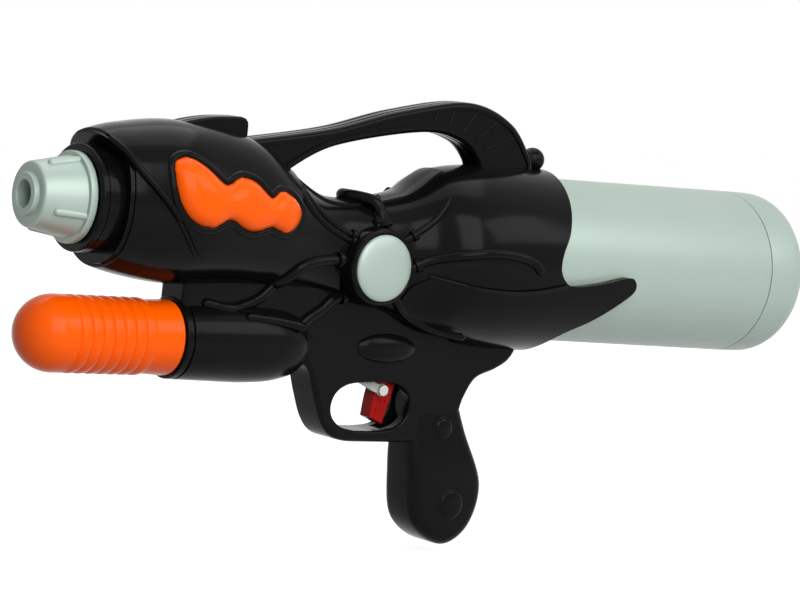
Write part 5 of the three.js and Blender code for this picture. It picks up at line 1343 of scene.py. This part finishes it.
# Lamps with their places in metres, what they point at, their sizes and powers
LAMPS = (
    ("key lamp", (-0.4, -1.5, 1.05), (0.0, 0.0, 0.1), 1.4, 25.0),
    ("fill lamp", (0.95, -1.35, 1.15), (0.05, 0.0, 0.1), 0.9, 7.5),
    ("top lamp", (0.1, 0.5, 1.6), (0.0, 0.0, 0.1), 1.5, 9.0),
    ("low lamp", (-0.5, -1.65, -0.03), (0.0, 0.0, 0.1), 1.2, 17.0),
)
WHITE = (1, 1, 1, 1)
FLOOR_GREY = (0.28, 0.28, 0.28, 1)
FLOOR_Z = -0.04
WORLD_LIGHT = 0.08

# Glow of the floor near the toy and far from it, so that a faint shadow shows
NEAR_GLOW = {"From Min": 0.3, "From Max": 0.8, "To Min": 0.88, "To Max": 1.0}


class SQUIRTER_OT_stage(bpy.types.Operator):
    """Sets the pale floor, the soft lamps and the camera"""

    bl_idname = "squirter.set_stage"
    bl_label = "Stage"

    def execute(self, context):
        scene = context.scene
        scene.view_settings.view_transform = "Standard"
        self.floor()
        self.backdrop(scene)
        for lamp in LAMPS:
            self.lamp(scene, *lamp)
        self.camera(scene)
        return {"FINISHED"}

    def camera(self, scene):
        data = bpy.data.cameras.new("photo camera")
        data.sensor_fit = "HORIZONTAL"
        data.sensor_width = 36.0
        data.lens = 131.27
        data.clip_start = 0.05
        obj = bpy.data.objects.new("photo camera", data)
        scene.collection.objects.link(obj)
        right = Vector((0.78301, -0.61231, 0.10942))
        up = Vector((-0.03948, 0.12664, 0.99117))
        ahead = Vector((0.62076, 0.78039, -0.07498))
        turn = Matrix((right, up, -ahead)).transposed().to_4x4()
        obj.matrix_world = Matrix.Translation((-0.9320, -1.1316, 0.1953)) @ turn
        scene.camera = obj

    # The low lamp only brightens the undersides and isn't mirrored in the gloss
    def lamp(self, scene, name, spot, target, size, power):
        data = bpy.data.lights.new(name, "AREA")
        data.shape = "SQUARE"
        data.size = size
        data.energy = power
        obj = bpy.data.objects.new(name, data)
        obj.location = spot
        obj.rotation_euler = (Vector(target) - Vector(spot)).to_track_quat("-Z", "Y").to_euler()
        obj.visible_glossy = name != "low lamp"
        scene.collection.objects.link(obj)

    def floor(self):
        bm = bmesh.new()
        level = Matrix.Translation((0, 0, FLOOR_Z))
        bmesh.ops.create_grid(bm, x_segments=2, y_segments=2, size=4, matrix=level)
        obj = linked_object("floor", bm)
        mat = bpy.data.materials.new("PaleFloor")
        mat.use_nodes = True
        tree = mat.node_tree
        shader = tree.nodes["Principled BSDF"]
        shader.inputs["Base Color"].default_value = FLOOR_GREY
        shader.inputs["Roughness"].default_value = 0.9
        shader.inputs["Emission Color"].default_value = WHITE
        where = added(tree, "TexCoord").outputs["Object"]
        far = added(tree, "VectorMath", {0: where}, "LENGTH").outputs["Value"]
        fade = added(tree, "MapRange", {"Value": far, **NEAR_GLOW}).outputs["Result"]
        glow = added(tree, "Math", {0: fade, 1: self.seen(tree)}, "MULTIPLY")
        tree.links.new(glow.outputs["Value"], shader.inputs["Emission Strength"])
        obj.data.materials.append(mat)

    # One where the white surroundings are seen directly, in a reflection or through a piece
    def seen(self, tree):
        ray = added(tree, "LightPath").outputs
        found = ray["Is Camera Ray"]
        for kind in ("Is Glossy Ray", "Is Transmission Ray"):
            found = added(tree, "Math", {0: found, 1: ray[kind]}, "MAXIMUM").outputs["Value"]
        return found

    def backdrop(self, scene):
        world = bpy.data.worlds.new("studio")
        world.use_nodes = True
        scene.world = world
        tree = world.node_tree
        soft = tree.nodes["Background"]
        soft.inputs["Color"].default_value = WHITE
        soft.inputs["Strength"].default_value = WORLD_LIGHT
        white = added(tree, "Background", {"Color": WHITE, "Strength": 1.0})
        seen = {"Fac": self.seen(tree), 1: soft.outputs["Background"], 2: white.outputs["Background"]}
        mix = added(tree, "MixShader", seen)
        tree.links.new(mix.outputs["Shader"], tree.nodes["World Output"].inputs["Surface"])


OPERATORS = (
    SQUIRTER_OT_inside,
    SQUIRTER_OT_shell,
    SQUIRTER_OT_handle,
    SQUIRTER_OT_frame,
    SQUIRTER_OT_hub,
    SQUIRTER_OT_panels,
    SQUIRTER_OT_nozzle,
    SQUIRTER_OT_pump,
    SQUIRTER_OT_tank,
    SQUIRTER_OT_trigger,
    SQUIRTER_OT_screws,
    SQUIRTER_OT_stage,
)


class SQUIRTER_PT_panel(bpy.types.Panel):
    """Lists the pieces of the water squirter"""

    bl_idname = "SQUIRTER_PT_panel"
    bl_label = "Water squirter"
    bl_space_type = "VIEW_3D"
    bl_region_type = "UI"
    bl_category = "Squirter"

    def draw(self, context):
        for operator in OPERATORS:
            self.layout.operator(operator.bl_idname)


CLASSES = (SquirterSizes, SquirterColours, *OPERATORS, SQUIRTER_PT_panel)


def register():
    for cls in CLASSES:
        bpy.utils.register_class(cls)
    bpy.types.Scene.squirter_sizes = bpy.props.PointerProperty(type=SquirterSizes)
    bpy.types.Scene.squirter_colours = bpy.props.PointerProperty(type=SquirterColours)


def unregister():
    del bpy.types.Scene.squirter_colours
    del bpy.types.Scene.squirter_sizes
    for cls in reversed(CLASSES):
        bpy.utils.unregister_class(cls)


def main():
    register()
    bpy.ops.squirter.finish_inside()
    bpy.ops.squirter.make_shell()
    bpy.ops.squirter.make_handle()
    bpy.ops.squirter.make_frame()
    bpy.ops.squirter.make_hub()
    bpy.ops.squirter.make_panels()
    bpy.ops.squirter.make_nozzle()
    bpy.ops.squirter.make_pump()
    bpy.ops.squirter.make_tank()
    bpy.ops.squirter.make_trigger()
    bpy.ops.squirter.make_screws()
    bpy.ops.squirter.set_stage()


if __name__ == "__main__":
    main()
